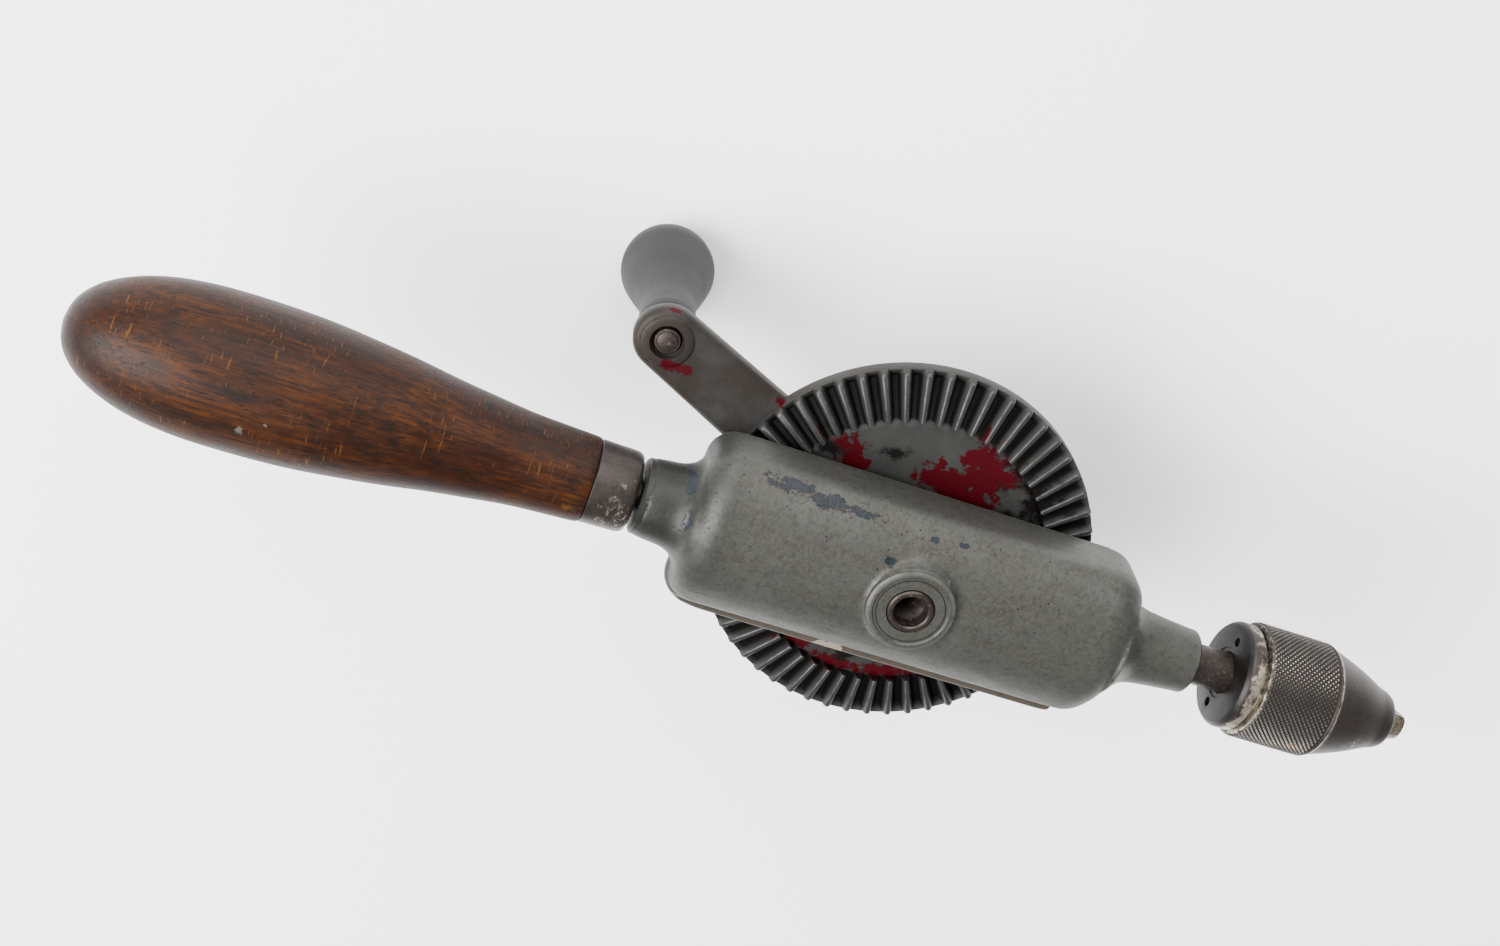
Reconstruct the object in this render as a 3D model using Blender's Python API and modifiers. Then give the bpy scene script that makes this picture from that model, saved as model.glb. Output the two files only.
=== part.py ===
"""Hand drill: a small geared drill with a turned wooden handle and a three-jaw keyless chuck.

The spindle runs along +X towards the chuck. The crank gear turns on a vertical axle stud, and its
toothed face looks up at the housing. The crank knob hangs below the arm and is the lowest piece.
Sizes are in millimetres until a mesh is made. DRILL_AXES is the point where spindle and axle cross.
"""

import math

import bmesh
import bpy
from mathutils import Vector

MM = 0.001
GAP = 0.3                     # clearance between neighbouring pieces
FINE = 34                     # facets round large turned pieces
MEDIUM = 24
SMALL = 16

# gears: a bevel pair at right angles, cones meeting where spindle and axle cross
GEAR_TEETH = 56
PINION_TEETH = 14
GEAR_RADIUS = 47.5
GEAR_FACE = 12.0
PINION_FRONT = 44.0           # large end of each pinion, along the spindle
PINION_BACK = 36.5
PRESSURE_ANGLE = math.radians(20.0)
PROFILE_SHIFT = 0.3           # long pinion teeth, short gear teeth
ROOT_CLEARANCE = 0.25
BACKLASH = 0.36
RIM_START = 0.955             # the gaps' floor rises from here to the rim, as a share of cone distance
RIM_RISE = 2.4
WEB_TOP = -10.4
WEB_BOTTOM = -15.5
RIM_BOTTOM = -17.0

# axle stud and what stacks on it
AXLE_RADIUS = 5.4
SIDE_HOLE_RADIUS = 3.95       # mouth of the tapped hole for a side handle
SIDE_THREAD_RADIUS = 3.2
SIDE_MOUTH_DEPTH = 3.2
SIDE_HOLE_DEPTH = 14.0
BUSH_WALL = 1.6
HUB_RADIUS = 9.8
HUB_TOP = -9.6
HUB_BOTTOM = -20.5
WASHER_THICK = 0.8
AXLE_WASHER_RADIUS = 9.0
SCREW_RADIUS = 2.2
SCREW_HEAD_RADIUS = 6.2
SCREW_HEAD_HEIGHT = 2.6

# crank arm and knob
CRANK_RADIUS = 76.5
CRANK_ANGLE = math.radians(155.3)
ARM_TOP = -14.8
ARM_END_RADIUS = 8.0
ARM_ROOT_HALF = 9.6
KNOB_PIN_RADIUS = 3.2
KNOB_BALL_RADIUS = 11.8
KNOB_NECK_RADIUS = 6.8
KNOB_LENGTH = 50.7

# housing casting
HOUSING_REAR = -53.6
HOUSING_FRONT = 56.2
HOUSING_HALF_WIDTH = 19.8
HOUSING_TOP = 15.5
HOUSING_BOTTOM = -6.9
HOUSING_WALL = 2.5
HOUSING_CROWN_WALL = 2.0
SHOULDER = ((1.0, 0.0), (1.0, 0.3), (0.99, 0.53), (0.955, 0.63), (0.87, 0.705), (0.71, 0.812),
            (0.5, 0.91), (0.25, 0.977), (0.0, 1.0))   # half section: share of half width, of height
LIP_WIDTH = 22.4
LIP_TOP = 4.0
LIP_THICK = 3.0
BOSS_TOP = 17.0
BOSS_RADIUS = 10.6
PILLAR_RADIUS = 9.5
PILLAR_BOTTOM = -8.3
BEARING_RADIUS = 8.0
BEARING_FRONT = 22.0
COLLAR_REAR = -65.6
COLLAR_RADIUS = 9.3
NOSE_FRONT = 75.2
NOSE_RADIUS = 8.0

# spindle line
SPINDLE_RADIUS = 5.1
SPINDLE_REAR = 14.8
NOSE_BUSH_LENGTH = 14.0
BALL_RADIUS = 2.5
PINION_HUB_RADIUS = 8.0
PINION_HUB_LENGTH = 10.5
CROSS_PIN_RADIUS = 1.5
IDLER_PIN_RADIUS = 3.0

# handle
HANDLE_BUTT = -196.0
HANDLE_MAX_RADIUS = 17.5
FERRULE_REAR = -77.1
FERRULE_FRONT = -66.7
FERRULE_RADIUS = 9.85
FERRULE_WALL = 1.0
HANDLE_NECK_RADIUS = 10.1
TANG_RADIUS = 3.5
TANG_REAR = -132.0
TANG_FRONT = -51.3

# chuck
DISC_REAR = 84.9
DISC_THICK = 4.4
DISC_RADIUS = 13.3
SPANNER_HOLE_RADIUS = 1.2
SPANNER_CIRCLE = 8.6
HOOD_REAR = 90.2
HOOD_RADIUS = 14.5
KNURL_FRONT = 109.5
CHUCK_NOSE = 129.2
NOSE_EDGE_RADIUS = 6.6
MOUTH_RADIUS = 4.65
JAW_SLOPE = 0.36              # radial travel of a jaw for each millimetre drawn back
JAW_STROKE = 8.0              # axial travel, closed to open
JAW_TIP = 134.0
JAW_TAIL = 114.3
JAW_GAP = 0.32
BARREL_FRONT = 102.6
BARREL_RADIUS = 12.1
SPINDLE_FRONT = 91.2
STEM_RADIUS = 2.8
GUIDE_REAR = 111.0
GUIDE_THICK = 3.0
GUIDE_RADIUS = 9.9
TONGUE_WIDTH = 3.2

PITCH_ANGLE = math.atan2(PINION_TEETH, GEAR_TEETH)
CONE_DISTANCE = GEAR_RADIUS / math.cos(PITCH_ANGLE)
MODULE = 2.0 * GEAR_RADIUS / GEAR_TEETH
KNOB_TOP = HUB_BOTTOM - GAP - WASHER_THICK - GAP
KNOB_BOTTOM = KNOB_TOP - KNOB_LENGTH
DRILL_AXES = Vector((-(HANDLE_BUTT + JAW_TIP) / 2.0, 0.0, -KNOB_BOTTOM))


# ---------------------------------------------------------------- scene, collections, materials

for old in list(bpy.data.objects):
    bpy.data.objects.remove(old, do_unlink=True)

parts = bpy.data.collections.new("hand_drill")
cutters = bpy.data.collections.new("hand_drill_cutters")
for collection in (parts, cutters):
    bpy.context.scene.collection.children.link(collection)

axes = bpy.data.objects.new("drill_axes", None)
axes.location = DRILL_AXES * MM
parts.objects.link(axes)


def material(name, colour, roughness, metallic):
    """Principled material; colour is linear RGB."""
    made = bpy.data.materials.new(name)
    made.use_nodes = True
    shader = made.node_tree.nodes["Principled BSDF"]
    shader.inputs["Base Color"].default_value = (*colour, 1.0)
    shader.inputs["Roughness"].default_value = roughness
    shader.inputs["Metallic"].default_value = metallic
    return made


def give(piece, name, colour, roughness, metallic):
    """Make a mesh object a finished sub-part with its own material."""
    piece.name = name
    piece.data.name = name
    piece.data.materials.clear()
    piece.data.materials.append(material(name, colour, roughness, metallic))
    return piece


CAST = ((0.22, 0.24, 0.23), 0.5, 0.7)
STEEL = ((0.16, 0.13, 0.11), 0.42, 0.9)
BRIGHT = ((0.45, 0.42, 0.37), 0.3, 1.0)
DARK = ((0.07, 0.06, 0.055), 0.45, 0.85)
BRONZE = ((0.42, 0.25, 0.1), 0.4, 1.0)
WOOD = ((0.2, 0.07, 0.025), 0.4, 0.0)


# ---------------------------------------------------------------- shape helpers

def place(piece, is_cutter):
    """Put an object in its collection, on the drill's axes."""
    if is_cutter:
        cutters.objects.link(piece)
        piece.hide_render = True
        piece.display_type = 'WIRE'
    else:
        parts.objects.link(piece)
    piece.parent = axes
    return piece


def solid(name, mesh, is_cutter=False):
    mesh.shade_smooth()
    mesh.set_sharp_from_angle(angle=math.radians(35.0))
    return place(bpy.data.objects.new(name, mesh), is_cutter)


def turned(name, outline, steps, along="X", centre=(0.0, 0.0), is_cutter=False):
    """Turn an outline of (axial, radius) points, listed from the high end down the outer side.

    An outline that starts and ends on the axis is solid; any other is a closed ring section.
    along is the world axis; centre is where the axis lies in the other two directions.
    """
    mesh = bpy.data.meshes.new(name)
    points = [(radius * MM, 0.0, axial * MM) for axial, radius in outline]
    edges = [(i, i + 1) for i in range(len(points) - 1)]
    if outline[0][1] > 0.0:
        edges.append((len(points) - 1, 0))
    mesh.from_pydata(points, edges, [])
    piece = place(bpy.data.objects.new(name, mesh), is_cutter)
    if along == "X":
        piece.rotation_euler = (0.0, math.pi / 2.0, 0.0)
        piece.location = (0.0, centre[0] * MM, centre[1] * MM)
    else:
        piece.location = (centre[0] * MM, centre[1] * MM, 0.0)
    screw = piece.modifiers.new("turn", 'SCREW')
    screw.steps = steps
    screw.render_steps = steps
    screw.use_merge_vertices = True
    screw.merge_threshold = 0.00001
    screw.use_smooth_shade = True
    return piece


def rod(name, start, end, radius, steps, along="X", centre=(0.0, 0.0), chamfer=0.0, is_cutter=False):
    """Plain turned rod from start to end along an axis, ends chamfered."""
    low, high = min(start, end), max(start, end)
    outline = [(high, 0.0), (high, radius - chamfer)]
    if chamfer > 0.0:
        outline += [(high - chamfer, radius), (low + chamfer, radius)]
        outline += [(low, radius - chamfer), (low, 0.0)]
    else:
        outline += [(low, radius), (low, 0.0)]
    return turned(name, outline, steps, along, centre, is_cutter)


def tube(name, start, end, bore, radius, steps, along="X", centre=(0.0, 0.0), chamfer=0.3):
    """Ring or bush from start to end, outer edges chamfered."""
    low, high = min(start, end), max(start, end)
    outline = [(high, bore), (high, radius - chamfer), (high - chamfer, radius)]
    outline += [(low + chamfer, radius), (low, radius - chamfer), (low, bore)]
    return turned(name, outline, steps, along, centre)


def block(name, low, high, is_cutter=False):
    """Rectangular block between two corners."""
    shape = bmesh.new()
    bmesh.ops.create_cube(shape, size=1.0)
    size = Vector(high) - Vector(low)
    middle = (Vector(high) + Vector(low)) / 2.0
    bmesh.ops.scale(shape, vec=size * MM, verts=shape.verts)
    bmesh.ops.translate(shape, vec=middle * MM, verts=shape.verts)
    mesh = bpy.data.meshes.new(name)
    shape.to_mesh(mesh)
    shape.free()
    return solid(name, mesh, is_cutter)


def plate(name, outline, bottom, top, edge, is_cutter=False):
    """Flat plate with a closed outline of (x, y) points and rounded edges."""
    curve = bpy.data.curves.new(name, 'CURVE')
    curve.dimensions = '2D'
    curve.fill_mode = 'BOTH'
    curve.extrude = ((top - bottom) / 2.0 - edge) * MM
    curve.bevel_depth = edge * MM
    curve.bevel_resolution = 1
    curve.offset = -edge * MM
    spline = curve.splines.new('POLY')
    spline.points.add(len(outline) - 1)
    for point, (x, y) in zip(spline.points, outline):
        point.co = (x * MM, y * MM, 0.0, 1.0)
    spline.use_cyclic_u = True
    drawn = bpy.data.objects.new(name + "_outline", curve)
    drawn.location = (0.0, 0.0, (top + bottom) / 2.0 * MM)
    bpy.context.scene.collection.objects.link(drawn)
    bpy.context.view_layer.update()
    graph = bpy.context.evaluated_depsgraph_get()
    mesh = bpy.data.meshes.new_from_object(drawn.evaluated_get(graph))
    shape = bmesh.new()
    shape.from_mesh(mesh)
    bmesh.ops.remove_doubles(shape, verts=shape.verts, dist=0.000001)
    bmesh.ops.transform(shape, matrix=drawn.matrix_world, verts=shape.verts)
    shape.to_mesh(mesh)
    shape.free()
    bpy.data.objects.remove(drawn)
    return solid(name, mesh, is_cutter)


def loft(name, sections, is_cutter=False):
    """Closed skin over equal-sized loops of points, flat at both ends."""
    shape = bmesh.new()
    loops = [[shape.verts.new(Vector(point) * MM) for point in loop] for loop in sections]
    for before, after in zip(loops, loops[1:]):
        count = len(before)
        for i in range(count):
            j = (i + 1) % count
            shape.faces.new((before[i], before[j], after[j], after[i]))
    shape.faces.new(list(reversed(loops[0])))
    shape.faces.new(loops[-1])
    bmesh.ops.recalc_face_normals(shape, faces=shape.faces)
    mesh = bpy.data.meshes.new(name)
    shape.to_mesh(mesh)
    shape.free()
    return solid(name, mesh, is_cutter)


def boolean(piece, operation, other):
    step = piece.modifiers.new(operation.lower() + "_" + other.name, 'BOOLEAN')
    step.operation = operation
    step.solver = 'EXACT'
    step.object = other
    return piece


def cut(piece, *others):
    for other in others:
        boolean(piece, 'DIFFERENCE', other)
    return piece


def join(piece, *others):
    for other in others:
        boolean(piece, 'UNION', other)
    return piece


def keep(piece, *others):
    for other in others:
        boolean(piece, 'INTERSECT', other)
    return piece


def arc(centre, radius, start, end, count):
    """Points on a circle from angle start to end, both ends included."""
    for i in range(count + 1):
        angle = start + (end - start) * i / count
        yield (centre[0] + radius * math.cos(angle), centre[1] + radius * math.sin(angle))


# ---------------------------------------------------------------- bevel gear teeth

def gap_cutter(name, teeth, cone_angle, rows, ends, first):
    """All the tooth gaps of one bevel gear, each a wedge that shrinks towards the cone's apex.

    rows holds (height above the pitch cone, half the gap's angle) from root to above the tip, both
    at the outer cone distance. ends holds (distance from the apex, lift of the gap's floor).
    The gear's axis is local Z with its apex at the origin.
    """
    shape = bmesh.new()
    loop = [(height, -half) for height, half in rows] + [(height, half) for height, half in reversed(rows)]
    count = len(loop)
    floor = rows[0][0]
    for tooth in range(teeth):
        middle = first + 2.0 * math.pi * tooth / teeth
        rings = []
        for distance, rise in ends:
            ring = []
            for height, turn in loop:
                lifted = height + (rise if height == floor else 0.0)
                polar = cone_angle + math.atan2(lifted, CONE_DISTANCE)
                reach = distance * math.sin(polar) * MM
                ring.append(shape.verts.new((
                    reach * math.cos(middle + turn),
                    reach * math.sin(middle + turn),
                    distance * math.cos(polar) * MM)))
            rings.append(ring)
        for before, after in zip(rings, rings[1:]):
            for i in range(count):
                j = (i + 1) % count
                shape.faces.new((before[i], before[j], after[j], after[i]))
        shape.faces.new(list(reversed(rings[0])))
        shape.faces.new(rings[-1])
    bmesh.ops.recalc_face_normals(shape, faces=shape.faces)
    mesh = bpy.data.meshes.new(name)
    shape.to_mesh(mesh)
    shape.free()
    return solid(name, mesh, is_cutter=True)


def involute(angle):
    return math.tan(angle) - angle


def gear_gap_rows():
    """Straight-sided gaps: a gear this flat is almost a rack."""
    thickness = (math.pi / 2.0 - 2.0 * PROFILE_SHIFT * math.tan(PRESSURE_ANGLE)) * MODULE
    thickness -= BACKLASH / 2.0
    pitch = math.pi * MODULE
    root = -(1.0 + PROFILE_SHIFT + ROOT_CLEARANCE) * MODULE
    above = 1.2 * MODULE
    rows = []
    for height in (root, above):
        half_tooth = thickness / 2.0 - height * math.tan(PRESSURE_ANGLE)
        rows.append((height, (pitch / 2.0 - half_tooth) / GEAR_RADIUS))
    return rows


def pinion_gap_rows():
    """Involute-sided gaps, drawn on the pinion's back cone."""
    back_radius = CONE_DISTANCE * math.tan(PITCH_ANGLE)
    base_radius = back_radius * math.cos(PRESSURE_ANGLE)
    thickness = (math.pi / 2.0 + 2.0 * PROFILE_SHIFT * math.tan(PRESSURE_ANGLE)) * MODULE
    thickness -= BACKLASH / 2.0
    root = back_radius - (1.0 - PROFILE_SHIFT + ROOT_CLEARANCE) * MODULE
    tip = back_radius + (1.0 + PROFILE_SHIFT) * MODULE
    radii = [root, base_radius]
    radii += [base_radius + (tip - base_radius) * share for share in (0.33, 0.67, 1.0, 1.2)]
    rows = []
    for radius in radii:
        contact = math.acos(min(1.0, base_radius / radius))
        half_tooth = thickness / (2.0 * back_radius) + involute(PRESSURE_ANGLE) - involute(contact)
        half_gap = math.pi / PINION_TEETH - half_tooth / math.cos(PITCH_ANGLE)
        rows.append((radius - back_radius, half_gap))
    return rows


# ---------------------------------------------------------------- crank gear, arm and knob

PIN_X = CRANK_RADIUS * math.cos(CRANK_ANGLE)
PIN_Y = CRANK_RADIUS * math.sin(CRANK_ANGLE)
PIN_AT = (PIN_X, PIN_Y)
BUSH_RADIUS = AXLE_RADIUS + GAP + BUSH_WALL


def arm_outline():
    """Arm from the hub to a round end about the knob pin."""
    across = CRANK_ANGLE + math.pi / 2.0
    back = across + math.pi
    outline = list(arc((0.0, 0.0), ARM_ROOT_HALF, across, back, 10))
    outline += list(arc(PIN_AT, ARM_END_RADIUS, back, back + math.pi, 12))
    return outline


def crank_gear():
    tip_angle = PITCH_ANGLE - math.atan2((1.0 - PROFILE_SHIFT) * MODULE, CONE_DISTANCE)
    inner = GEAR_RADIUS - GEAR_FACE
    tip_slope = math.tan(tip_angle)
    hub_bore = BUSH_RADIUS + GAP
    outline = [
        (HUB_TOP, hub_bore), (HUB_TOP, HUB_RADIUS - 1.0), (WEB_TOP, HUB_RADIUS - 0.4),
        (WEB_TOP, inner - 0.5), (-inner * tip_slope, inner),
        (-GEAR_RADIUS * tip_slope, GEAR_RADIUS), (RIM_BOTTOM + 0.8, GEAR_RADIUS),
        (RIM_BOTTOM, GEAR_RADIUS - 0.8), (RIM_BOTTOM, inner + 1.0), (WEB_BOTTOM, inner - 1.0),
        (WEB_BOTTOM, HUB_RADIUS + 1.5), (HUB_BOTTOM + 0.8, HUB_RADIUS), (HUB_BOTTOM, HUB_RADIUS - 0.8),
        (HUB_BOTTOM, hub_bore),
    ]
    gear = turned("crank_gear", outline, GEAR_TEETH, along="Z")
    arm = plate("crank_arm", arm_outline(), HUB_BOTTOM, ARM_TOP, 1.2, is_cutter=True)
    ring = rod("pin_boss", ARM_TOP - 2.0, ARM_TOP + 0.45, 6.1, MEDIUM, "Z", PIN_AT, 0.3, is_cutter=True)
    first = math.pi / GEAR_TEETH
    ends = [(CONE_DISTANCE * 0.69, 0.0), (CONE_DISTANCE * RIM_START, 0.0), (CONE_DISTANCE * 1.04, RIM_RISE)]
    gaps = gap_cutter("gear_gaps", GEAR_TEETH, math.pi / 2.0 - PITCH_ANGLE, gear_gap_rows(), ends, first)
    gaps.rotation_euler = (math.pi, 0.0, 0.0)
    arm_bore = rod("hub_bore_cut", HUB_BOTTOM - 2.0, HUB_TOP + 2.0, hub_bore, GEAR_TEETH, "Z",
                   is_cutter=True)
    clear = rod("arm_clear_cut", WEB_TOP, HUB_TOP + 3.0, GEAR_RADIUS, GEAR_TEETH, "Z", is_cutter=True)
    pin_hole = rod("pin_hole_cut", HUB_BOTTOM - 2.0, ARM_TOP + 3.0, KNOB_PIN_RADIUS + GAP, SMALL, "Z",
                   PIN_AT, is_cutter=True)
    recess = rod("pin_recess_cut", ARM_TOP - 1.3, ARM_TOP + 3.0, KNOB_PIN_RADIUS + 0.85, MEDIUM, "Z",
                 PIN_AT, is_cutter=True)
    cut(arm, arm_bore, clear)
    join(gear, arm, ring)
    cut(gear, gaps, pin_hole, recess)
    give(gear, "crank_gear", *CAST)
    bush = tube("gear_bush", HUB_BOTTOM, HUB_TOP, AXLE_RADIUS + GAP, BUSH_RADIUS, MEDIUM, "Z")
    give(bush, "gear_bush", *BRONZE)


def crank_knob():
    """Pear-shaped knob on its pin, with a washer under the arm."""
    ball_centre = KNOB_BOTTOM + KNOB_BALL_RADIUS - 0.4
    bore = KNOB_PIN_RADIUS + GAP
    outline = [(KNOB_TOP, bore), (KNOB_TOP, KNOB_NECK_RADIUS - 0.8)]
    outline += [(KNOB_TOP - 0.8, KNOB_NECK_RADIUS), (KNOB_TOP - 2.6, KNOB_NECK_RADIUS + 0.1)]
    neck_bottom = KNOB_TOP - 0.27 * KNOB_LENGTH
    shoulder = math.radians(28.0)
    shoulder_radius = KNOB_BALL_RADIUS * math.cos(shoulder)
    shoulder_z = ball_centre + KNOB_BALL_RADIUS * math.sin(shoulder)
    for i in range(6):
        share = i / 5.0
        ease = share * share * (1.6 - 0.6 * share)
        radius = KNOB_NECK_RADIUS - 0.1 + (shoulder_radius - KNOB_NECK_RADIUS + 0.1) * ease
        outline.append((neck_bottom + (shoulder_z - neck_bottom) * share, radius))
    head_bore = KNOB_PIN_RADIUS + 1.5 + GAP
    last = -math.acos((head_bore + 0.9) / KNOB_BALL_RADIUS)
    for radius, z in list(arc((0.0, ball_centre), KNOB_BALL_RADIUS, shoulder, last, 10))[1:]:
        outline.append((max(z, KNOB_BOTTOM), radius))
    outline += [(KNOB_BOTTOM, head_bore), (KNOB_BOTTOM + 3.4, head_bore), (KNOB_BOTTOM + 3.4, bore)]
    knob = turned("crank_knob", outline, FINE, "Z", PIN_AT)
    give(knob, "crank_knob", *CAST)

    head = KNOB_BOTTOM + 3.4 - GAP
    top = ARM_TOP + 0.2
    outline = [(top, 0.0), (top, 1.6), (top - 0.5, KNOB_PIN_RADIUS - 0.3), (top - 1.2, KNOB_PIN_RADIUS)]
    outline += [(head, KNOB_PIN_RADIUS), (head, KNOB_PIN_RADIUS + 1.5)]
    outline += [(head - 1.8, KNOB_PIN_RADIUS + 1.3), (head - 2.4, KNOB_PIN_RADIUS), (head - 2.4, 0.0)]
    give(turned("knob_pin", outline, SMALL, "Z", PIN_AT), "knob_pin", *STEEL)
    washer = tube("knob_washer", HUB_BOTTOM - GAP - WASHER_THICK, HUB_BOTTOM - GAP, bore,
                  KNOB_NECK_RADIUS, SMALL, "Z", PIN_AT, 0.2)
    give(washer, "knob_washer", *STEEL)


# ---------------------------------------------------------------- axle stud

def axle():
    """Stud pressed in the boss; the tapped end takes a side handle, the low end holds the gear on."""
    low = HUB_BOTTOM - GAP
    shaft = rod("axle_stud", low, BOSS_TOP + 0.3, AXLE_RADIUS, MEDIUM, "Z", chamfer=0.5)
    top = BOSS_TOP + 0.3
    mouth = [(top + 1.0, 0.0), (top + 1.0, SIDE_HOLE_RADIUS), (top - SIDE_MOUTH_DEPTH, SIDE_HOLE_RADIUS)]
    mouth.append((top - SIDE_MOUTH_DEPTH - 0.7, SIDE_THREAD_RADIUS))
    mouth.append((top - SIDE_HOLE_DEPTH, SIDE_THREAD_RADIUS))
    mouth += [(top - SIDE_HOLE_DEPTH, 0.0)]
    side_hole = turned("side_hole_cut", mouth, MEDIUM, "Z", is_cutter=True)
    screw_hole = rod("screw_hole_cut", low - 1.0, low + 9.0, SCREW_RADIUS + GAP, SMALL, "Z", is_cutter=True)
    give(cut(shaft, side_hole, screw_hole), "axle_stud", *STEEL)

    top_washer = tube("gear_washer", HUB_TOP + GAP, HUB_TOP + GAP + WASHER_THICK, AXLE_RADIUS + GAP,
                      HUB_RADIUS - 1.0, MEDIUM, "Z", chamfer=0.2)
    give(top_washer, "gear_washer", *STEEL)
    washer_top = low - GAP
    washer_bottom = washer_top - 1.2
    low_washer = tube("axle_washer", washer_bottom, washer_top, SCREW_RADIUS + GAP, AXLE_WASHER_RADIUS,
                      MEDIUM, "Z", chamfer=0.3)
    give(low_washer, "axle_washer", *STEEL)
    head_top = washer_bottom - GAP
    head_bottom = head_top - SCREW_HEAD_HEIGHT
    outline = [(low + 7.5, 0.0), (low + 7.5, SCREW_RADIUS), (head_top, SCREW_RADIUS)]
    outline += [(head_top, SCREW_HEAD_RADIUS), (head_bottom + 0.8, SCREW_HEAD_RADIUS)]
    outline += [(head_bottom, SCREW_HEAD_RADIUS - 1.2), (head_bottom, 0.0)]
    screw = turned("axle_screw", outline, SMALL, "Z")
    slot = block("screw_slot_cut", (-8.0, -0.8, head_bottom - 1.0), (8.0, 0.8, head_bottom + 1.3), True)
    give(cut(screw, slot), "axle_screw", *STEEL)


# ---------------------------------------------------------------- housing casting

def arch(x, half_width, top):
    """Shouldered arch at x, from one bottom edge over the crown to the other."""
    rise = top - HOUSING_BOTTOM
    half = [(x, half_width * y, HOUSING_BOTTOM + rise * z) for y, z in SHOULDER]
    return half + [(x, -y, z) for x, y, z in reversed(half[:-1])]


def loaf(name, rear, front, half_width, top, rear_round, front_round, drop, is_cutter=False):
    """Arched body whose ends round over in plan and in height; drop deepens it below the edge."""
    sections = []
    stations = [(rear, rear_round, 1.0), (front, front_round, -1.0)]
    ends = []
    for end, rounding, inward in stations:
        side = []
        for degrees in (0.0, 18.0, 38.0, 62.0, 90.0):
            angle = math.radians(degrees)
            x = end + inward * rounding * (1.0 - math.cos(angle))
            pull = rounding * (1.0 - math.sin(angle))
            side.append((x, pull))
        ends.append(side)
    for x, pull in ends[0] + list(reversed(ends[1])):
        loop = arch(x, half_width - pull, top - pull * 0.8)
        loop.append((x, -half_width + pull, HOUSING_BOTTOM - drop))
        loop.append((x, half_width - pull, HOUSING_BOTTOM - drop))
        sections.append(loop)
    return loft(name, sections, is_cutter)


def lip_outline():
    """Flange along the low side: round rear corner, curved in again at the front."""
    inner = HOUSING_HALF_WIDTH - 5.0
    rear = HOUSING_REAR + 0.3
    front = HOUSING_FRONT - 1.0
    outline = [(rear + 1.5, 0.0), (rear, -6.0)]
    outline += list(arc((rear + 9.0, -LIP_WIDTH + 9.0), 9.0, math.pi, 1.5 * math.pi, 6))
    outline += list(arc((front - 9.0, -LIP_WIDTH + 7.0), 7.0, -math.pi / 2.0, -0.12 * math.pi, 5))
    outline += [(front - 6.0, -inner), (rear + 6.0, -inner)]
    return outline


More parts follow.
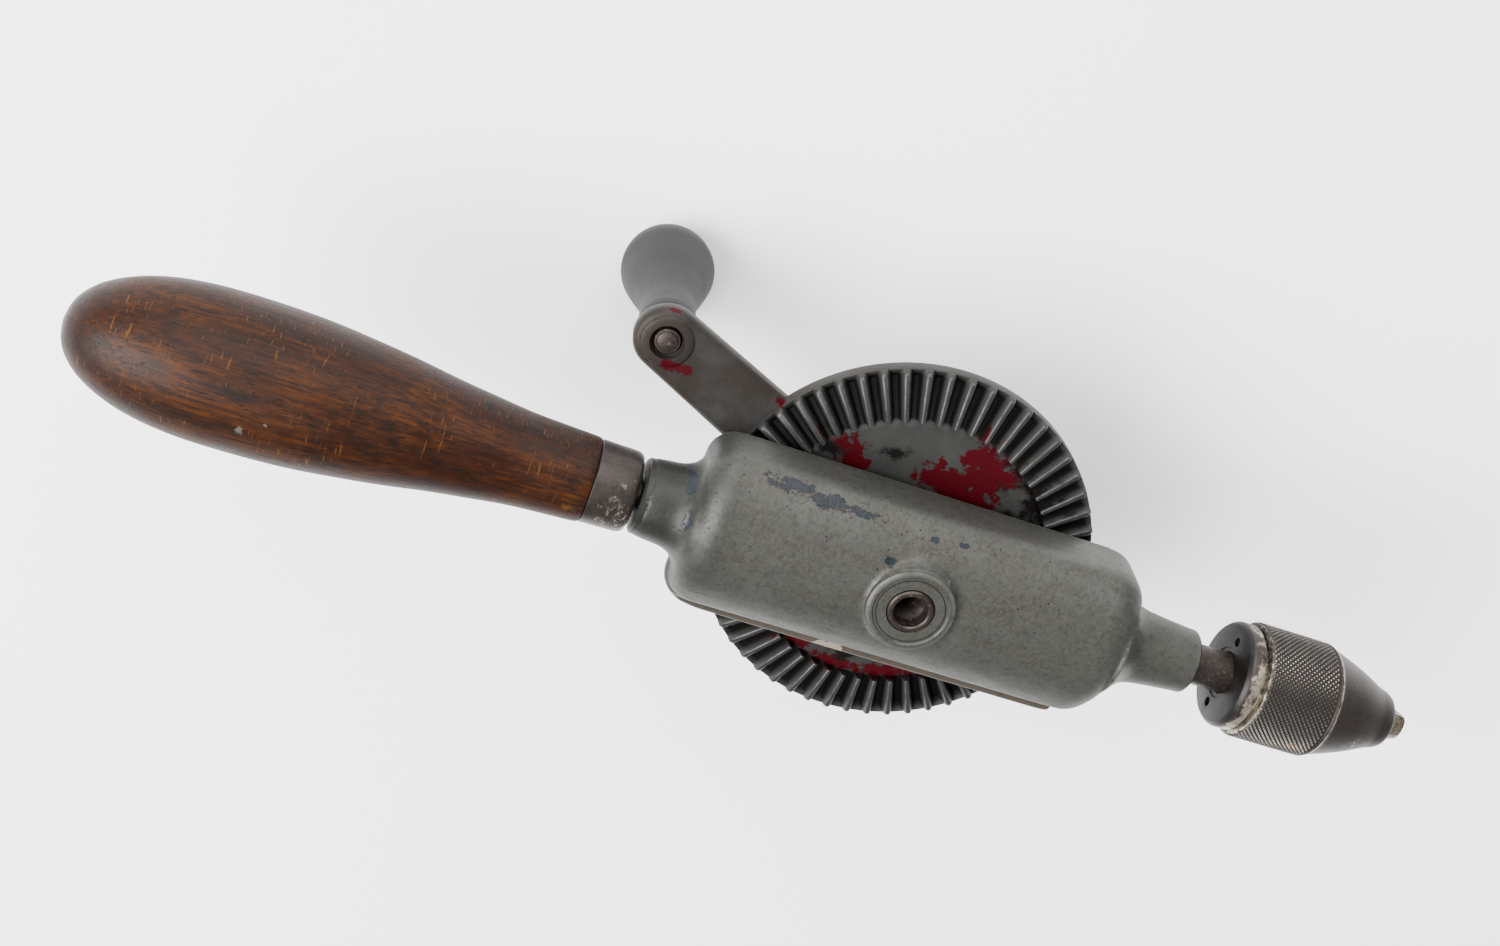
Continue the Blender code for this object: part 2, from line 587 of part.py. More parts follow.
def frame_casting():
    body = loaf("frame_casting", HOUSING_REAR, HOUSING_FRONT, HOUSING_HALF_WIDTH, HOUSING_TOP,
                6.5, 10.0, 0.05)
    cavity = loaf("cavity_cut", HOUSING_REAR + HOUSING_WALL, HOUSING_FRONT - HOUSING_WALL - 1.0,
                  HOUSING_HALF_WIDTH - HOUSING_WALL, HOUSING_TOP - HOUSING_CROWN_WALL, 4.5, 7.0, 8.0, True)
    lip = plate("lip", lip_outline(), LIP_TOP - LIP_THICK, LIP_TOP, 0.4, True)
    collar = turned("collar", [
        (HOUSING_REAR + 1.5, 0.0), (HOUSING_REAR + 1.5, COLLAR_RADIUS + 4.0),
        (HOUSING_REAR - 0.6, COLLAR_RADIUS + 2.1), (HOUSING_REAR - 2.6, COLLAR_RADIUS + 1.0),
        (HOUSING_REAR - 6.0, COLLAR_RADIUS + 0.3), (COLLAR_REAR + 0.7, COLLAR_RADIUS - 0.3),
        (COLLAR_REAR, COLLAR_RADIUS - 1.0), (COLLAR_REAR, 0.0)], FINE, is_cutter=True)
    nose = turned("nose", [
        (NOSE_FRONT, 0.0), (NOSE_FRONT, NOSE_RADIUS - 0.7), (NOSE_FRONT - 0.7, NOSE_RADIUS),
        (HOUSING_FRONT + 5.0, NOSE_RADIUS + 1.2), (HOUSING_FRONT + 2.2, NOSE_RADIUS + 1.8),
        (HOUSING_FRONT + 0.4, NOSE_RADIUS + 3.2), (HOUSING_FRONT - 2.5, NOSE_RADIUS + 5.0),
        (HOUSING_FRONT - 2.5, 0.0)], FINE, is_cutter=True)
    boss = turned("axle_boss", [
        (BOSS_TOP, 0.0), (BOSS_TOP, BOSS_RADIUS - 0.8), (BOSS_TOP - 0.7, BOSS_RADIUS),
        (BOSS_TOP - 4.5, BOSS_RADIUS + 0.3), (HOUSING_TOP - 6.5, BOSS_RADIUS + 1.6),
        (HOUSING_TOP - 6.5, 0.0)], FINE, "Z", is_cutter=True)
    crown = HOUSING_TOP - HOUSING_CROWN_WALL + 0.6
    pillar = rod("pillar", PILLAR_BOTTOM, crown, PILLAR_RADIUS, MEDIUM, "Z", is_cutter=True)
    bearing = rod("bearing", -BEARING_FRONT + 2.0, BEARING_FRONT, BEARING_RADIUS, MEDIUM, is_cutter=True)
    front_pad = rod("front_pad", HOUSING_FRONT - 6.5, HOUSING_FRONT - 2.0, BEARING_RADIUS + 2.0, MEDIUM,
                    is_cutter=True)
    rear_pad = rod("rear_pad", HOUSING_REAR + 1.0, HOUSING_REAR + 5.0, BEARING_RADIUS, MEDIUM,
                   is_cutter=True)
    cut(body, cavity)
    join(body, lip, collar, nose, boss, pillar, bearing, front_pad, rear_pad)

    under = block("underside_cut", (HOUSING_REAR - 2.6, -60.0, -60.0),
                  (HOUSING_FRONT + 2.2, 60.0, -COLLAR_RADIUS - 0.4), True)
    axle_bore = rod("axle_bore_cut", PILLAR_BOTTOM - 4.0, BOSS_TOP + 4.0, AXLE_RADIUS + GAP, MEDIUM, "Z",
                    is_cutter=True)
    bush_bore = SPINDLE_RADIUS + 2.0 * GAP + BUSH_WALL
    seat = SPINDLE_RADIUS + GAP
    rear_bore = turned("rear_bore_cut", [
        (BEARING_FRONT + 1.0, 0.0), (BEARING_FRONT + 1.0, bush_bore), (SPINDLE_REAR - GAP, bush_bore),
        (SPINDLE_REAR - GAP, seat), (SPINDLE_REAR - 6.0, seat), (SPINDLE_REAR - 6.0, 0.0)], MEDIUM,
        is_cutter=True)
    nose_bush_rear = NOSE_FRONT - NOSE_BUSH_LENGTH - GAP
    nose_bore = turned("nose_bore_cut", [
        (NOSE_FRONT + 2.0, 0.0), (NOSE_FRONT + 2.0, bush_bore), (nose_bush_rear, bush_bore),
        (nose_bush_rear, seat), (HOUSING_FRONT - 8.0, seat), (HOUSING_FRONT - 8.0, 0.0)], MEDIUM,
        is_cutter=True)
    tang_bore = rod("tang_bore_cut", COLLAR_REAR - 2.0, TANG_FRONT + GAP, TANG_RADIUS + GAP, SMALL,
                    is_cutter=True)
    idler_bore = rod("idler_bore_cut", TANG_FRONT - 2.0, -AXLE_RADIUS - 3.0, IDLER_PIN_RADIUS + GAP, SMALL,
                     is_cutter=True)
    cut(body, under, axle_bore, rear_bore, nose_bore, tang_bore, idler_bore)
    give(body, "frame_casting", *CAST)


# ---------------------------------------------------------------- spindle, pinions, bearings

def pinion(name, facing, bore, hub_length, hub_radius):
    """Pinion whose axis is local Z, turned to face +X or -X; hub on its small end."""
    tip = PITCH_ANGLE + math.atan2((1.0 + PROFILE_SHIFT) * MODULE, CONE_DISTANCE)
    slope = math.tan(tip)
    outline = [
        (PINION_FRONT + 1.4, bore), (PINION_FRONT + 1.4, PINION_FRONT * slope - 3.4),
        (PINION_FRONT, PINION_FRONT * slope), (PINION_BACK, PINION_BACK * slope),
        (PINION_BACK - 1.0, hub_radius), (PINION_BACK - hub_length, hub_radius),
        (PINION_BACK - hub_length, bore),
    ]
    gear = turned(name, outline, PINION_TEETH * 3, "X")
    ends = [(PINION_BACK * 0.93, 0.0), (CONE_DISTANCE * 1.1, 0.0)]
    gaps = gap_cutter(name + "_gaps", PINION_TEETH, PITCH_ANGLE, pinion_gap_rows(), ends, 0.0)
    gaps.rotation_euler = (0.0, facing * math.pi / 2.0, 0.0)
    gear.rotation_euler = (0.0, facing * math.pi / 2.0, 0.0)
    return cut(gear, gaps)


def spindle_line():
    bore = SPINDLE_RADIUS + GAP
    spindle = rod("spindle", SPINDLE_REAR, SPINDLE_FRONT, SPINDLE_RADIUS, MEDIUM, chamfer=0.6)
    pin_x = PINION_BACK - PINION_HUB_LENGTH * 0.55
    pin_span = PINION_HUB_RADIUS - 0.2
    pin_hole = rod("pin_hole", -12.0, 12.0, CROSS_PIN_RADIUS + GAP, SMALL, "Z", (pin_x, 0.0),
                   is_cutter=True)
    give(cut(spindle, pin_hole), "spindle", *STEEL)
    gear = pinion("drive_pinion", 1.0, bore, PINION_HUB_LENGTH, PINION_HUB_RADIUS)
    give(cut(gear, pin_hole), "drive_pinion", *STEEL)
    pin = rod("pinion_pin", -pin_span, pin_span, CROSS_PIN_RADIUS, SMALL, "Z", (pin_x, 0.0), 0.2)
    give(pin, "pinion_pin", *STEEL)

    idler = pinion("idler_pinion", -1.0, IDLER_PIN_RADIUS + GAP, 8.0, PINION_HUB_RADIUS - 1.0)
    give(idler, "idler_pinion", *STEEL)
    idler_pin = rod("idler_pin", TANG_FRONT + 2.0 * GAP, -AXLE_RADIUS - 4.0, IDLER_PIN_RADIUS, SMALL,
                    chamfer=0.4)
    give(idler_pin, "idler_pin", *STEEL)

    pad = HOUSING_FRONT - 6.5
    washer = tube("thrust_washer", PINION_FRONT + 1.4 + GAP, pad - GAP, bore, BEARING_RADIUS + 1.0, MEDIUM)
    give(washer, "thrust_washer", *STEEL)
    bush_radius = bore + BUSH_WALL
    rear_bush = tube("rear_bush", SPINDLE_REAR, BEARING_FRONT, bore, bush_radius, MEDIUM)
    give(rear_bush, "rear_bush", *BRONZE)
    nose_bush = tube("nose_bush", NOSE_FRONT - NOSE_BUSH_LENGTH, NOSE_FRONT - 0.4, bore, bush_radius,
                     MEDIUM)
    give(nose_bush, "nose_bush", *BRONZE)
    centre = SPINDLE_REAR - GAP - BALL_RADIUS
    outline = [(centre + z, r) for r, z in arc((0.0, 0.0), BALL_RADIUS, math.pi / 2.0, -math.pi / 2.0, 10)]
    outline[0] = (outline[0][0], 0.0)
    outline[-1] = (outline[-1][0], 0.0)
    give(turned("thrust_ball", outline, SMALL), "thrust_ball", *BRIGHT)


# ---------------------------------------------------------------- chuck

def chuck():
    bore = SPINDLE_RADIUS + GAP
    disc_front = DISC_REAR + DISC_THICK
    groove_rear = HOOD_REAR + 2.6
    groove_front = groove_rear + 1.8
    body = turned("chuck_body", [
        (BARREL_FRONT, STEM_RADIUS + GAP), (BARREL_FRONT, BARREL_RADIUS - 0.8),
        (BARREL_FRONT - 0.8, BARREL_RADIUS),
        (groove_front, BARREL_RADIUS), (groove_front, BARREL_RADIUS - 1.1),
        (groove_rear, BARREL_RADIUS - 1.1), (groove_rear, BARREL_RADIUS),
        (disc_front, BARREL_RADIUS), (disc_front, DISC_RADIUS - 0.4), (disc_front - 0.4, DISC_RADIUS),
        (DISC_REAR + 0.9, DISC_RADIUS), (DISC_REAR, DISC_RADIUS - 0.9), (DISC_REAR, bore + 1.2),
        (DISC_REAR + 0.8, bore + 1.2), (DISC_REAR + 0.8, bore), (SPINDLE_FRONT + GAP, bore),
        (SPINDLE_FRONT + GAP, STEM_RADIUS + GAP)], FINE)
    for side in (-1.0, 1.0):
        turn = math.radians(175.7)
        at = (side * SPANNER_CIRCLE * math.cos(turn), side * SPANNER_CIRCLE * math.sin(turn))
        hole = rod("spanner_hole", DISC_REAR - 1.0, disc_front - 0.6, SPANNER_HOLE_RADIUS, SMALL, "X", at,
                   is_cutter=True)
        cut(body, hole)
    give(body, "chuck_body", *DARK)

    ring = turned("hood_ring", [
        (groove_front - GAP, BARREL_RADIUS - 1.1 + GAP), (groove_front - GAP, BARREL_RADIUS + 0.7),
        (groove_rear + GAP, BARREL_RADIUS + 0.7), (groove_rear + GAP, BARREL_RADIUS - 1.1 + GAP)], FINE)
    split = block("ring_split_cut", (HOOD_REAR, -0.8, 5.0), (HOOD_REAR + 8.0, 0.8, 16.0), True)
    give(cut(ring, split), "hood_ring", *STEEL)

    inner = BARREL_RADIUS + GAP
    cone_start = CHUCK_NOSE - (inner - MOUTH_RADIUS - GAP) / JAW_SLOPE
    hood = turned("chuck_hood", [
        (CHUCK_NOSE, MOUTH_RADIUS + GAP), (CHUCK_NOSE, NOSE_EDGE_RADIUS - 0.8),
        (CHUCK_NOSE - 0.5, NOSE_EDGE_RADIUS), (CHUCK_NOSE - 2.0, NOSE_EDGE_RADIUS + 1.0),
        (KNURL_FRONT + 0.6, HOOD_RADIUS - 0.6), (KNURL_FRONT - 1.4, HOOD_RADIUS),
        (HOOD_REAR + 1.2, HOOD_RADIUS), (HOOD_REAR, HOOD_RADIUS - 0.6), (HOOD_REAR, inner),
        (groove_rear, inner), (groove_rear, inner + 0.8), (groove_front, inner + 0.8),
        (groove_front, inner), (cone_start, inner)], FINE)
    give(hood, "chuck_hood", *DARK)

    guide_front = GUIDE_REAR + GUIDE_THICK
    stem_rear = SPINDLE_FRONT + GAP + JAW_STROKE
    guide = turned("jaw_guide", [
        (guide_front, 0.0), (guide_front, GUIDE_RADIUS - 0.4), (guide_front - 0.4, GUIDE_RADIUS),
        (GUIDE_REAR, GUIDE_RADIUS), (GUIDE_REAR, STEM_RADIUS), (stem_rear, STEM_RADIUS),
        (stem_rear, 0.0)], MEDIUM)
    slots = []
    for number in range(3):
        turn = number * 2.0 * math.pi / 3.0
        slot = block("guide_slot", (GUIDE_REAR + 0.6, -TONGUE_WIDTH / 2.0 - GAP, 2.6),
                     (guide_front + 1.0, TONGUE_WIDTH / 2.0 + GAP, GUIDE_RADIUS + 2.0), True)
        slot.rotation_euler = (turn, 0.0, 0.0)
        slots.append(slot)
    give(cut(guide, *slots), "jaw_guide", *STEEL)

    for number in range(3):
        jaw(number, guide_front)


def jaw(number, guide_front):
    """One jaw: an inclined round bar ground to a 120 degree wedge, with a tongue in the guide."""
    turn = number * 2.0 * math.pi / 3.0
    facets = MEDIUM
    sections = []
    for x in (JAW_TAIL, JAW_TIP):
        lift = (CHUCK_NOSE - x) * JAW_SLOPE
        radius = MOUTH_RADIUS
        sections.append([(x, radius * math.sin(2.0 * math.pi * i / facets),
                          lift + radius * math.cos(2.0 * math.pi * i / facets)) for i in range(facets)])
    bar = loft("jaw", sections)
    shift = JAW_GAP / 2.0 / math.sin(math.pi / 3.0)
    reach = 30.0
    wedge_sections = []
    for x in (JAW_TAIL - 1.0, JAW_TIP + 1.0):
        wedge_sections.append([(x, 0.0, shift), (x, reach * math.sin(math.pi / 3.0), shift + reach / 2.0),
                               (x, 0.0, reach), (x, -reach * math.sin(math.pi / 3.0), shift + reach / 2.0)])
    wedge = loft("jaw_wedge", wedge_sections, True)
    limit = BARREL_RADIUS + GAP - JAW_STROKE * JAW_SLOPE - GAP
    skirt = rod("jaw_skirt", JAW_TAIL - 1.0, JAW_TIP + 1.0, limit, FINE, is_cutter=True)
    tongue = block("jaw_tongue", (GUIDE_REAR + 0.6 + GAP, -TONGUE_WIDTH / 2.0, 3.0),
                   (JAW_TAIL + 1.0, TONGUE_WIDTH / 2.0, limit - 0.6), True)
    keep(bar, wedge, skirt)
    join(bar, tongue)
    for piece in (bar, wedge, tongue):
        piece.rotation_euler = (turn, 0.0, 0.0)
    give(bar, "jaw_%d" % (number + 1), *BRIGHT)


# ---------------------------------------------------------------- handle

def handle():
    """Turned grip: round butt, long swell, slim neck and a tenon inside the ferrule."""
    neck = FERRULE_REAR - 0.3
    length = neck - HANDLE_BUTT
    tenon = FERRULE_RADIUS - FERRULE_WALL - GAP
    stations = [(0.985, 10.15), (0.93, 10.5), (0.86, 11.0), (0.79, 12.0), (0.71, 13.2), (0.63, 14.7),
                (0.55, 15.9), (0.47, 16.9), (0.39, 17.4), (0.31, 17.5), (0.24, 17.2), (0.17, 16.1),
                (0.11, 14.1), (0.06, 11.3), (0.025, 7.6), (0.006, 3.8)]
    swell = HANDLE_MAX_RADIUS / max(radius for share, radius in stations)
    bore = TANG_RADIUS + GAP
    front = FERRULE_FRONT - 1.6
    outline = [(front, 0.0), (front, tenon - 0.6), (front - 0.6, tenon)]
    outline += [(neck, tenon), (neck, HANDLE_NECK_RADIUS - 0.1)]
    outline += [(HANDLE_BUTT + length * share, radius * swell) for share, radius in stations]
    outline.append((HANDLE_BUTT, 0.0))
    grip = turned("handle", outline, FINE)
    tang_hole = rod("tang_hole_cut", TANG_REAR - 1.0, FERRULE_FRONT + 3.0, bore, SMALL, is_cutter=True)
    give(cut(grip, tang_hole), "handle", *WOOD)

    inner = FERRULE_RADIUS - FERRULE_WALL
    ferrule = turned("ferrule", [
        (FERRULE_FRONT, bore + 1.5), (FERRULE_FRONT, FERRULE_RADIUS - 1.3),
        (FERRULE_FRONT - 0.5, FERRULE_RADIUS - 0.6), (FERRULE_FRONT - 1.5, FERRULE_RADIUS - 0.2),
        (FERRULE_REAR, FERRULE_RADIUS), (FERRULE_REAR, inner), (FERRULE_FRONT - 1.3, inner),
        (FERRULE_FRONT - 1.3, bore + 1.5)], FINE)
    give(ferrule, "ferrule", *STEEL)
    tang = rod("handle_tang", TANG_REAR, TANG_FRONT, TANG_RADIUS, SMALL, chamfer=0.6)
    give(tang, "handle_tang", *STEEL)


frame_casting()
handle()
axle()
crank_gear()
crank_knob()
spindle_line()
chuck()
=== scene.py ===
import math

import bmesh
import bpy
from mathutils import Matrix, Vector


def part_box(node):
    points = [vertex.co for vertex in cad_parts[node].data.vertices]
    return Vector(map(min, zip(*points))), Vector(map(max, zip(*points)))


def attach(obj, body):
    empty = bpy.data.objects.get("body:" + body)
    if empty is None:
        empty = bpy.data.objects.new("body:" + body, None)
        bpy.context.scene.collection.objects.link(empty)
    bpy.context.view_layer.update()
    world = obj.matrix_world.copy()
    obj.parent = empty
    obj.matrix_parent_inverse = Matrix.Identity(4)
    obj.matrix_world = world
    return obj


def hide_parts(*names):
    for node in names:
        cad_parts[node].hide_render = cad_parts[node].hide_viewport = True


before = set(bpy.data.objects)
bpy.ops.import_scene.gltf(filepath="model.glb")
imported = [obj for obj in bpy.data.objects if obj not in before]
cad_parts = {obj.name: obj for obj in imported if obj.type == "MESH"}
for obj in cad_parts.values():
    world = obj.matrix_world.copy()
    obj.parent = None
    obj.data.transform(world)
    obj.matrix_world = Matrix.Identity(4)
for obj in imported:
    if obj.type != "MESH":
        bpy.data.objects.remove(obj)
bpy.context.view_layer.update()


# ==== Housing =======================================================================================
# One die casting in zinc-aluminium alloy: a loaf-shaped tunnel over the spindle, open underneath,
# with a collar for the handle, a nose for the spindle, a boss for the crank axle and a moulding
# line that stands proud along one side. Cast all over; only the boss face and the ends are turned.

MM = 0.001
axle_low, axle_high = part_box("axle_stud")
spindle_low, spindle_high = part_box("spindle")
AXES = Vector(((axle_low.x + axle_high.x) / 2.0, (axle_low.y + axle_high.y) / 2.0,
               (spindle_low.z + spindle_high.z) / 2.0))
INTO_ROW = Matrix.Translation(AXES) @ Matrix.Scale(MM, 4)


def shown(name, shape, sharp=35.0):
    """A mesh object in the row frame from a bmesh drawn in mm about the crossing of the axes."""
    shape.transform(INTO_ROW)
    mesh = bpy.data.meshes.new(name)
    shape.to_mesh(mesh)
    shape.free()
    mesh.shade_smooth()
    mesh.set_sharp_from_angle(angle=math.radians(sharp))
    piece = bpy.data.objects.new(name, mesh)
    bpy.context.scene.collection.objects.link(piece)
    return piece


def freeze(piece, sharp=35.0):
    """Apply every modifier on a piece."""
    graph = bpy.context.evaluated_depsgraph_get()
    mesh = bpy.data.meshes.new_from_object(piece.evaluated_get(graph))
    piece.modifiers.clear()
    piece.data = mesh
    mesh.name = piece.name
    mesh.shade_smooth()
    mesh.set_sharp_from_angle(angle=math.radians(sharp))
    return piece


def worked(piece, *steps, sharp=35.0, solver='MANIFOLD'):
    """Add or cut other solids, each step a pair (operation, solid); the solids are used up."""
    for operation, tool in steps:
        step = piece.modifiers.new(tool.name, 'BOOLEAN')
        step.operation = operation
        step.solver = solver
        step.object = tool
    freeze(piece, sharp)
    for operation, tool in steps:
        bpy.data.objects.remove(tool)
    return piece


def curve_through(points, parts):
    """More points on a smooth curve through the given ones."""
    out = []
    for i in range(len(points) - 1):
        a = points[max(i - 1, 0)]
        b, c = points[i], points[i + 1]
        d = points[min(i + 2, len(points) - 1)]
        for j in range(parts):
            t = j / parts
            out.append(tuple(
                0.5 * (2.0 * q + (r - p) * t + (2.0 * p - 5.0 * q + 4.0 * r - s) * t * t
                       + (3.0 * q - p - 3.0 * r + s) * t ** 3)
                for p, q, r, s in zip(a, b, c, d)))
    out.append(tuple(points[-1]))
    return out


def skin(name, loops, sharp=35.0, pierced=False):
    """Closed skin over equal loops of points; pierced joins the last loop to the first."""
    shape = bmesh.new()
    rings = []
    for loop in loops:
        if len(set(loop)) == 1:
            rings.append([shape.verts.new(loop[0])])
        else:
            rings.append([shape.verts.new(point) for point in loop])
    pairs = list(zip(rings, rings[1:]))
    if pierced:
        pairs.append((rings[-1], rings[0]))
    for before, after in pairs:
        count = max(len(before), len(after))
        for i in range(count):
            j = (i + 1) % count
            corners = [before[i % len(before)], before[j % len(before)],
                       after[j % len(after)], after[i % len(after)]]
            corners = [v for n, v in enumerate(corners) if v not in corners[:n]]
            if len(corners) > 2:
                shape.faces.new(corners)
    if not pierced:
        for ring in (rings[0], rings[-1]):
            if len(ring) > 2:
                shape.faces.new(ring)
    bmesh.ops.recalc_face_normals(shape, faces=shape.faces)
    return shown(name, shape, sharp)


def turned(name, outline, steps=96, along="X", centre=(0.0, 0.0), sharp=35.0):
    """Lathe work: an outline of (axial, radius) points turned about a line along X or Z."""
    loops = []
    for axial, radius in outline:
        loop = []
        for i in range(steps):
            angle = 2.0 * math.pi * i / steps
            across, up = radius * math.sin(angle), radius * math.cos(angle)
            if along == "X":
                loop.append((axial, centre[0] + across, centre[1] + up))
            else:
                loop.append((centre[0] + across, centre[1] + up, axial))
        if radius == 0.0:
            loop = [loop[0]] * steps
        loops.append(loop)
    hollow = outline[0][1] > 0.0 and outline[-1][1] > 0.0
    return skin(name, loops, sharp, pierced=hollow)


def slab(name, low, high):
    """A plain block, for cutting or joining."""
    shape = bmesh.new()
    bmesh.ops.create_cube(shape, size=1.0)
    bmesh.ops.scale(shape, vec=Vector(high) - Vector(low), verts=shape.verts)
    bmesh.ops.translate(shape, vec=(Vector(high) + Vector(low)) / 2.0, verts=shape.verts)
    return shown(name, shape)


def arc(centre, radius, start, end, count):
    """Points on a circle, angles in degrees, both ends included."""
    for i in range(count + 1):
        angle = math.radians(start + (end - start) * i / count)
        yield (centre[0] + radius * math.cos(angle), centre[1] + radius * math.sin(angle))


HOUSING_REAR, HOUSING_FRONT = -53.4, 56.2
HOUSING_HALF, HOUSING_TOP, HOUSING_FOOT = 19.8, 15.4, -6.9
SHOULDER = [(1.0, 0.0), (1.0, 0.4), (0.99, 0.535), (0.955, 0.63), (0.87, 0.705), (0.71, 0.812),
            (0.5, 0.91), (0.25, 0.977), (0.0, 1.0)]
CAST_WALL = 2.4
COLLAR_REAR, NOSE_FRONT = -65.6, 75.2
BOSS_FACE, BOSS_RADIUS = 17.0, 10.5


def tunnel(name, rear, front, half, top, rounds, foot):
    """Loaf shape: shouldered section, its ends rounded in plan and over the top."""
    side = curve_through(SHOULDER, 4)
    stations = []
    for end, rounding, inward in ((rear, rounds[0], 1.0), (front, rounds[1], -1.0)):
        run = [(end + inward * rounding * (1.0 - math.cos(math.radians(a))),
                rounding * (1.0 - math.sin(math.radians(a)))) for a in range(0, 91, 9)]
        stations += run if inward > 0.0 else list(reversed(run))
    loops = []
    for x, pull in stations:
        rise = top - 0.75 * pull - HOUSING_FOOT
        ring = [(x, (half - pull) * y, HOUSING_FOOT + rise * z) for y, z in side]
        ring += [(x, -y, z) for _, y, z in reversed(ring[:-1])]
        ring += [(x, -half + pull, foot), (x, half - pull, foot)]
        loops.append(ring)
    return skin(name, loops)


housing = tunnel("housing", HOUSING_REAR, HOUSING_FRONT, HOUSING_HALF, HOUSING_TOP, (6.5, 9.5),
                 HOUSING_FOOT - 0.05)

# The moulding along the side: a rounded flange from the rear corner to the front one.
FLANGE_MIDDLE, FLANGE_HALF_WIDTH, FLANGE_HALF_HEIGHT = 2.2, 1.9, 1.9
flange_path = curve_through([
    (HOUSING_REAR + 0.8, -5.0), (HOUSING_REAR + 0.5, -10.0), (HOUSING_REAR + 1.2, -15.4), (HOUSING_REAR + 4.2,
                                                                                           -19.2),
    (HOUSING_REAR + 9.0, -20.5), (HOUSING_REAR + 20.0, -20.7), (0.0, -20.8), (30.0, -20.8), (41.0, -20.8),
    (45.0, -20.7), (47.6, -20.2)], 8)
flange = []
for i, (x, y) in enumerate(flange_path):
    ahead = flange_path[min(i + 1, len(flange_path) - 1)]
    behind = flange_path[max(i - 1, 0)]
    run = Vector((ahead[0] - behind[0], ahead[1] - behind[1])).normalized()
    fade = min(1.0, 0.2 + i / 22.0, 0.5 + (len(flange_path) - 1 - i) / 8.0)
    ring = []
    for cosine, sine in arc((0.0, 0.0), 1.0, 0.0, 345.0, 23):
        across = math.copysign(abs(cosine) ** 0.5, cosine) * FLANGE_HALF_WIDTH * fade
        up = math.copysign(abs(sine) ** 0.5, sine) * FLANGE_HALF_HEIGHT * fade
        ring.append((x + run.y * across, y - run.x * across, FLANGE_MIDDLE + up))
    flange.append(ring)
flange = skin("flange", flange)

collar = turned("collar", [(HOUSING_REAR + 3.0, 0.0)] + curve_through([
    (HOUSING_REAR + 3.0, 14.6), (HOUSING_REAR + 0.3, 12.9), (HOUSING_REAR - 1.2, 11.2),
    (HOUSING_REAR - 4.0, 10.0), (HOUSING_REAR - 8.0, 9.55), (COLLAR_REAR + 1.5, 9.2)], 4)
    + [(COLLAR_REAR + 1.5, 0.0)])
nose = turned("nose", [(NOSE_FRONT - 1.5, 0.0)] + curve_through([
    (NOSE_FRONT - 1.5, 7.9), (HOUSING_FRONT + 8.0, 8.8), (HOUSING_FRONT + 3.5, 9.6),
    (HOUSING_FRONT + 0.8, 11.2), (HOUSING_FRONT - 2.5, 14.5)], 4) + [(HOUSING_FRONT - 2.5, 0.0)])
boss = turned("boss", [(BOSS_FACE - 1.0, 0.0), (BOSS_FACE - 1.0, BOSS_RADIUS - 0.3)] + curve_through([
    (BOSS_FACE - 1.6, BOSS_RADIUS), (BOSS_FACE - 3.2, BOSS_RADIUS + 0.5),
    (BOSS_FACE - 5.0, BOSS_RADIUS + 1.6), (BOSS_FACE - 8.0, BOSS_RADIUS + 3.6)], 3)
    + [(BOSS_FACE - 8.0, 0.0)], along="Z")
worked(housing, ('UNION', flange), ('UNION', collar), ('UNION', nose), ('UNION', boss), solver='EXACT')

# Casting rounds every inside and outside corner; so does a fine remesh, then a little smoothing.
cast = housing.modifiers.new("cast", 'REMESH')
cast.mode = 'VOXEL'
cast.voxel_size = 0.6 * MM
settled = housing.modifiers.new("settle", 'SMOOTH')
settled.factor = 0.5
settled.iterations = 3
freeze(housing)

crown = HOUSING_TOP - CAST_WALL + 0.4
hollow = tunnel("hollow", HOUSING_REAR + CAST_WALL, HOUSING_FRONT - CAST_WALL - 1.0,
                HOUSING_HALF - CAST_WALL, HOUSING_TOP - CAST_WALL, (4.5, 7.0), HOUSING_FOOT - 12.0)
overhang = slab("overhang", (HOUSING_REAR - 2.4, -60.0, -60.0), (HOUSING_FRONT + 2.0, 60.0, -9.8))
inside = [
    turned("pillar", [(crown, 0.0), (crown, 9.5), (-8.0, 9.5), (-8.3, 9.2), (-8.3, 0.0)], 64, "Z"),
    turned("bearing", [(22.0, 0.0), (22.0, 7.6), (21.6, 8.0), (-20.0, 8.0), (-20.0, 0.0)], 64),
    turned("front_pad", [(HOUSING_FRONT - 1.9, 0.0), (HOUSING_FRONT - 1.9, 9.9), (HOUSING_FRONT - 6.4, 9.9),
                         (HOUSING_FRONT - 6.4, 0.0)], 64),
    turned("rear_pad", [(HOUSING_REAR + 4.9, 0.0), (HOUSING_REAR + 4.9, 8.1), (HOUSING_REAR + 1.1, 8.1),
                        (HOUSING_REAR + 1.1, 0.0)], 64),
]
machined = [
    turned("collar_end", [(COLLAR_REAR + 3.5, 0.0), (COLLAR_REAR + 3.5, 9.05), (COLLAR_REAR + 0.5, 9.0),
                          (COLLAR_REAR, 8.4), (COLLAR_REAR, 0.0)], 128),
    turned("nose_end", [(NOSE_FRONT, 0.0), (NOSE_FRONT, 7.3), (NOSE_FRONT - 0.6, 7.9),
                        (NOSE_FRONT - 3.5, 8.0),
                        (NOSE_FRONT - 3.5, 0.0)], 128),
    turned("boss_face", [(BOSS_FACE - 0.3, 0.0), (BOSS_FACE - 0.3, 8.6), (BOSS_FACE, 8.9),
                         (BOSS_FACE, BOSS_RADIUS - 0.7),
                         (BOSS_FACE - 0.35, BOSS_RADIUS - 0.15), (BOSS_FACE - 2.6, BOSS_RADIUS + 0.2),
                         (BOSS_FACE - 2.6, 0.0)], 128, "Z"),
]
BUSH_BORE, SPINDLE_CLEAR = 7.35, 5.45
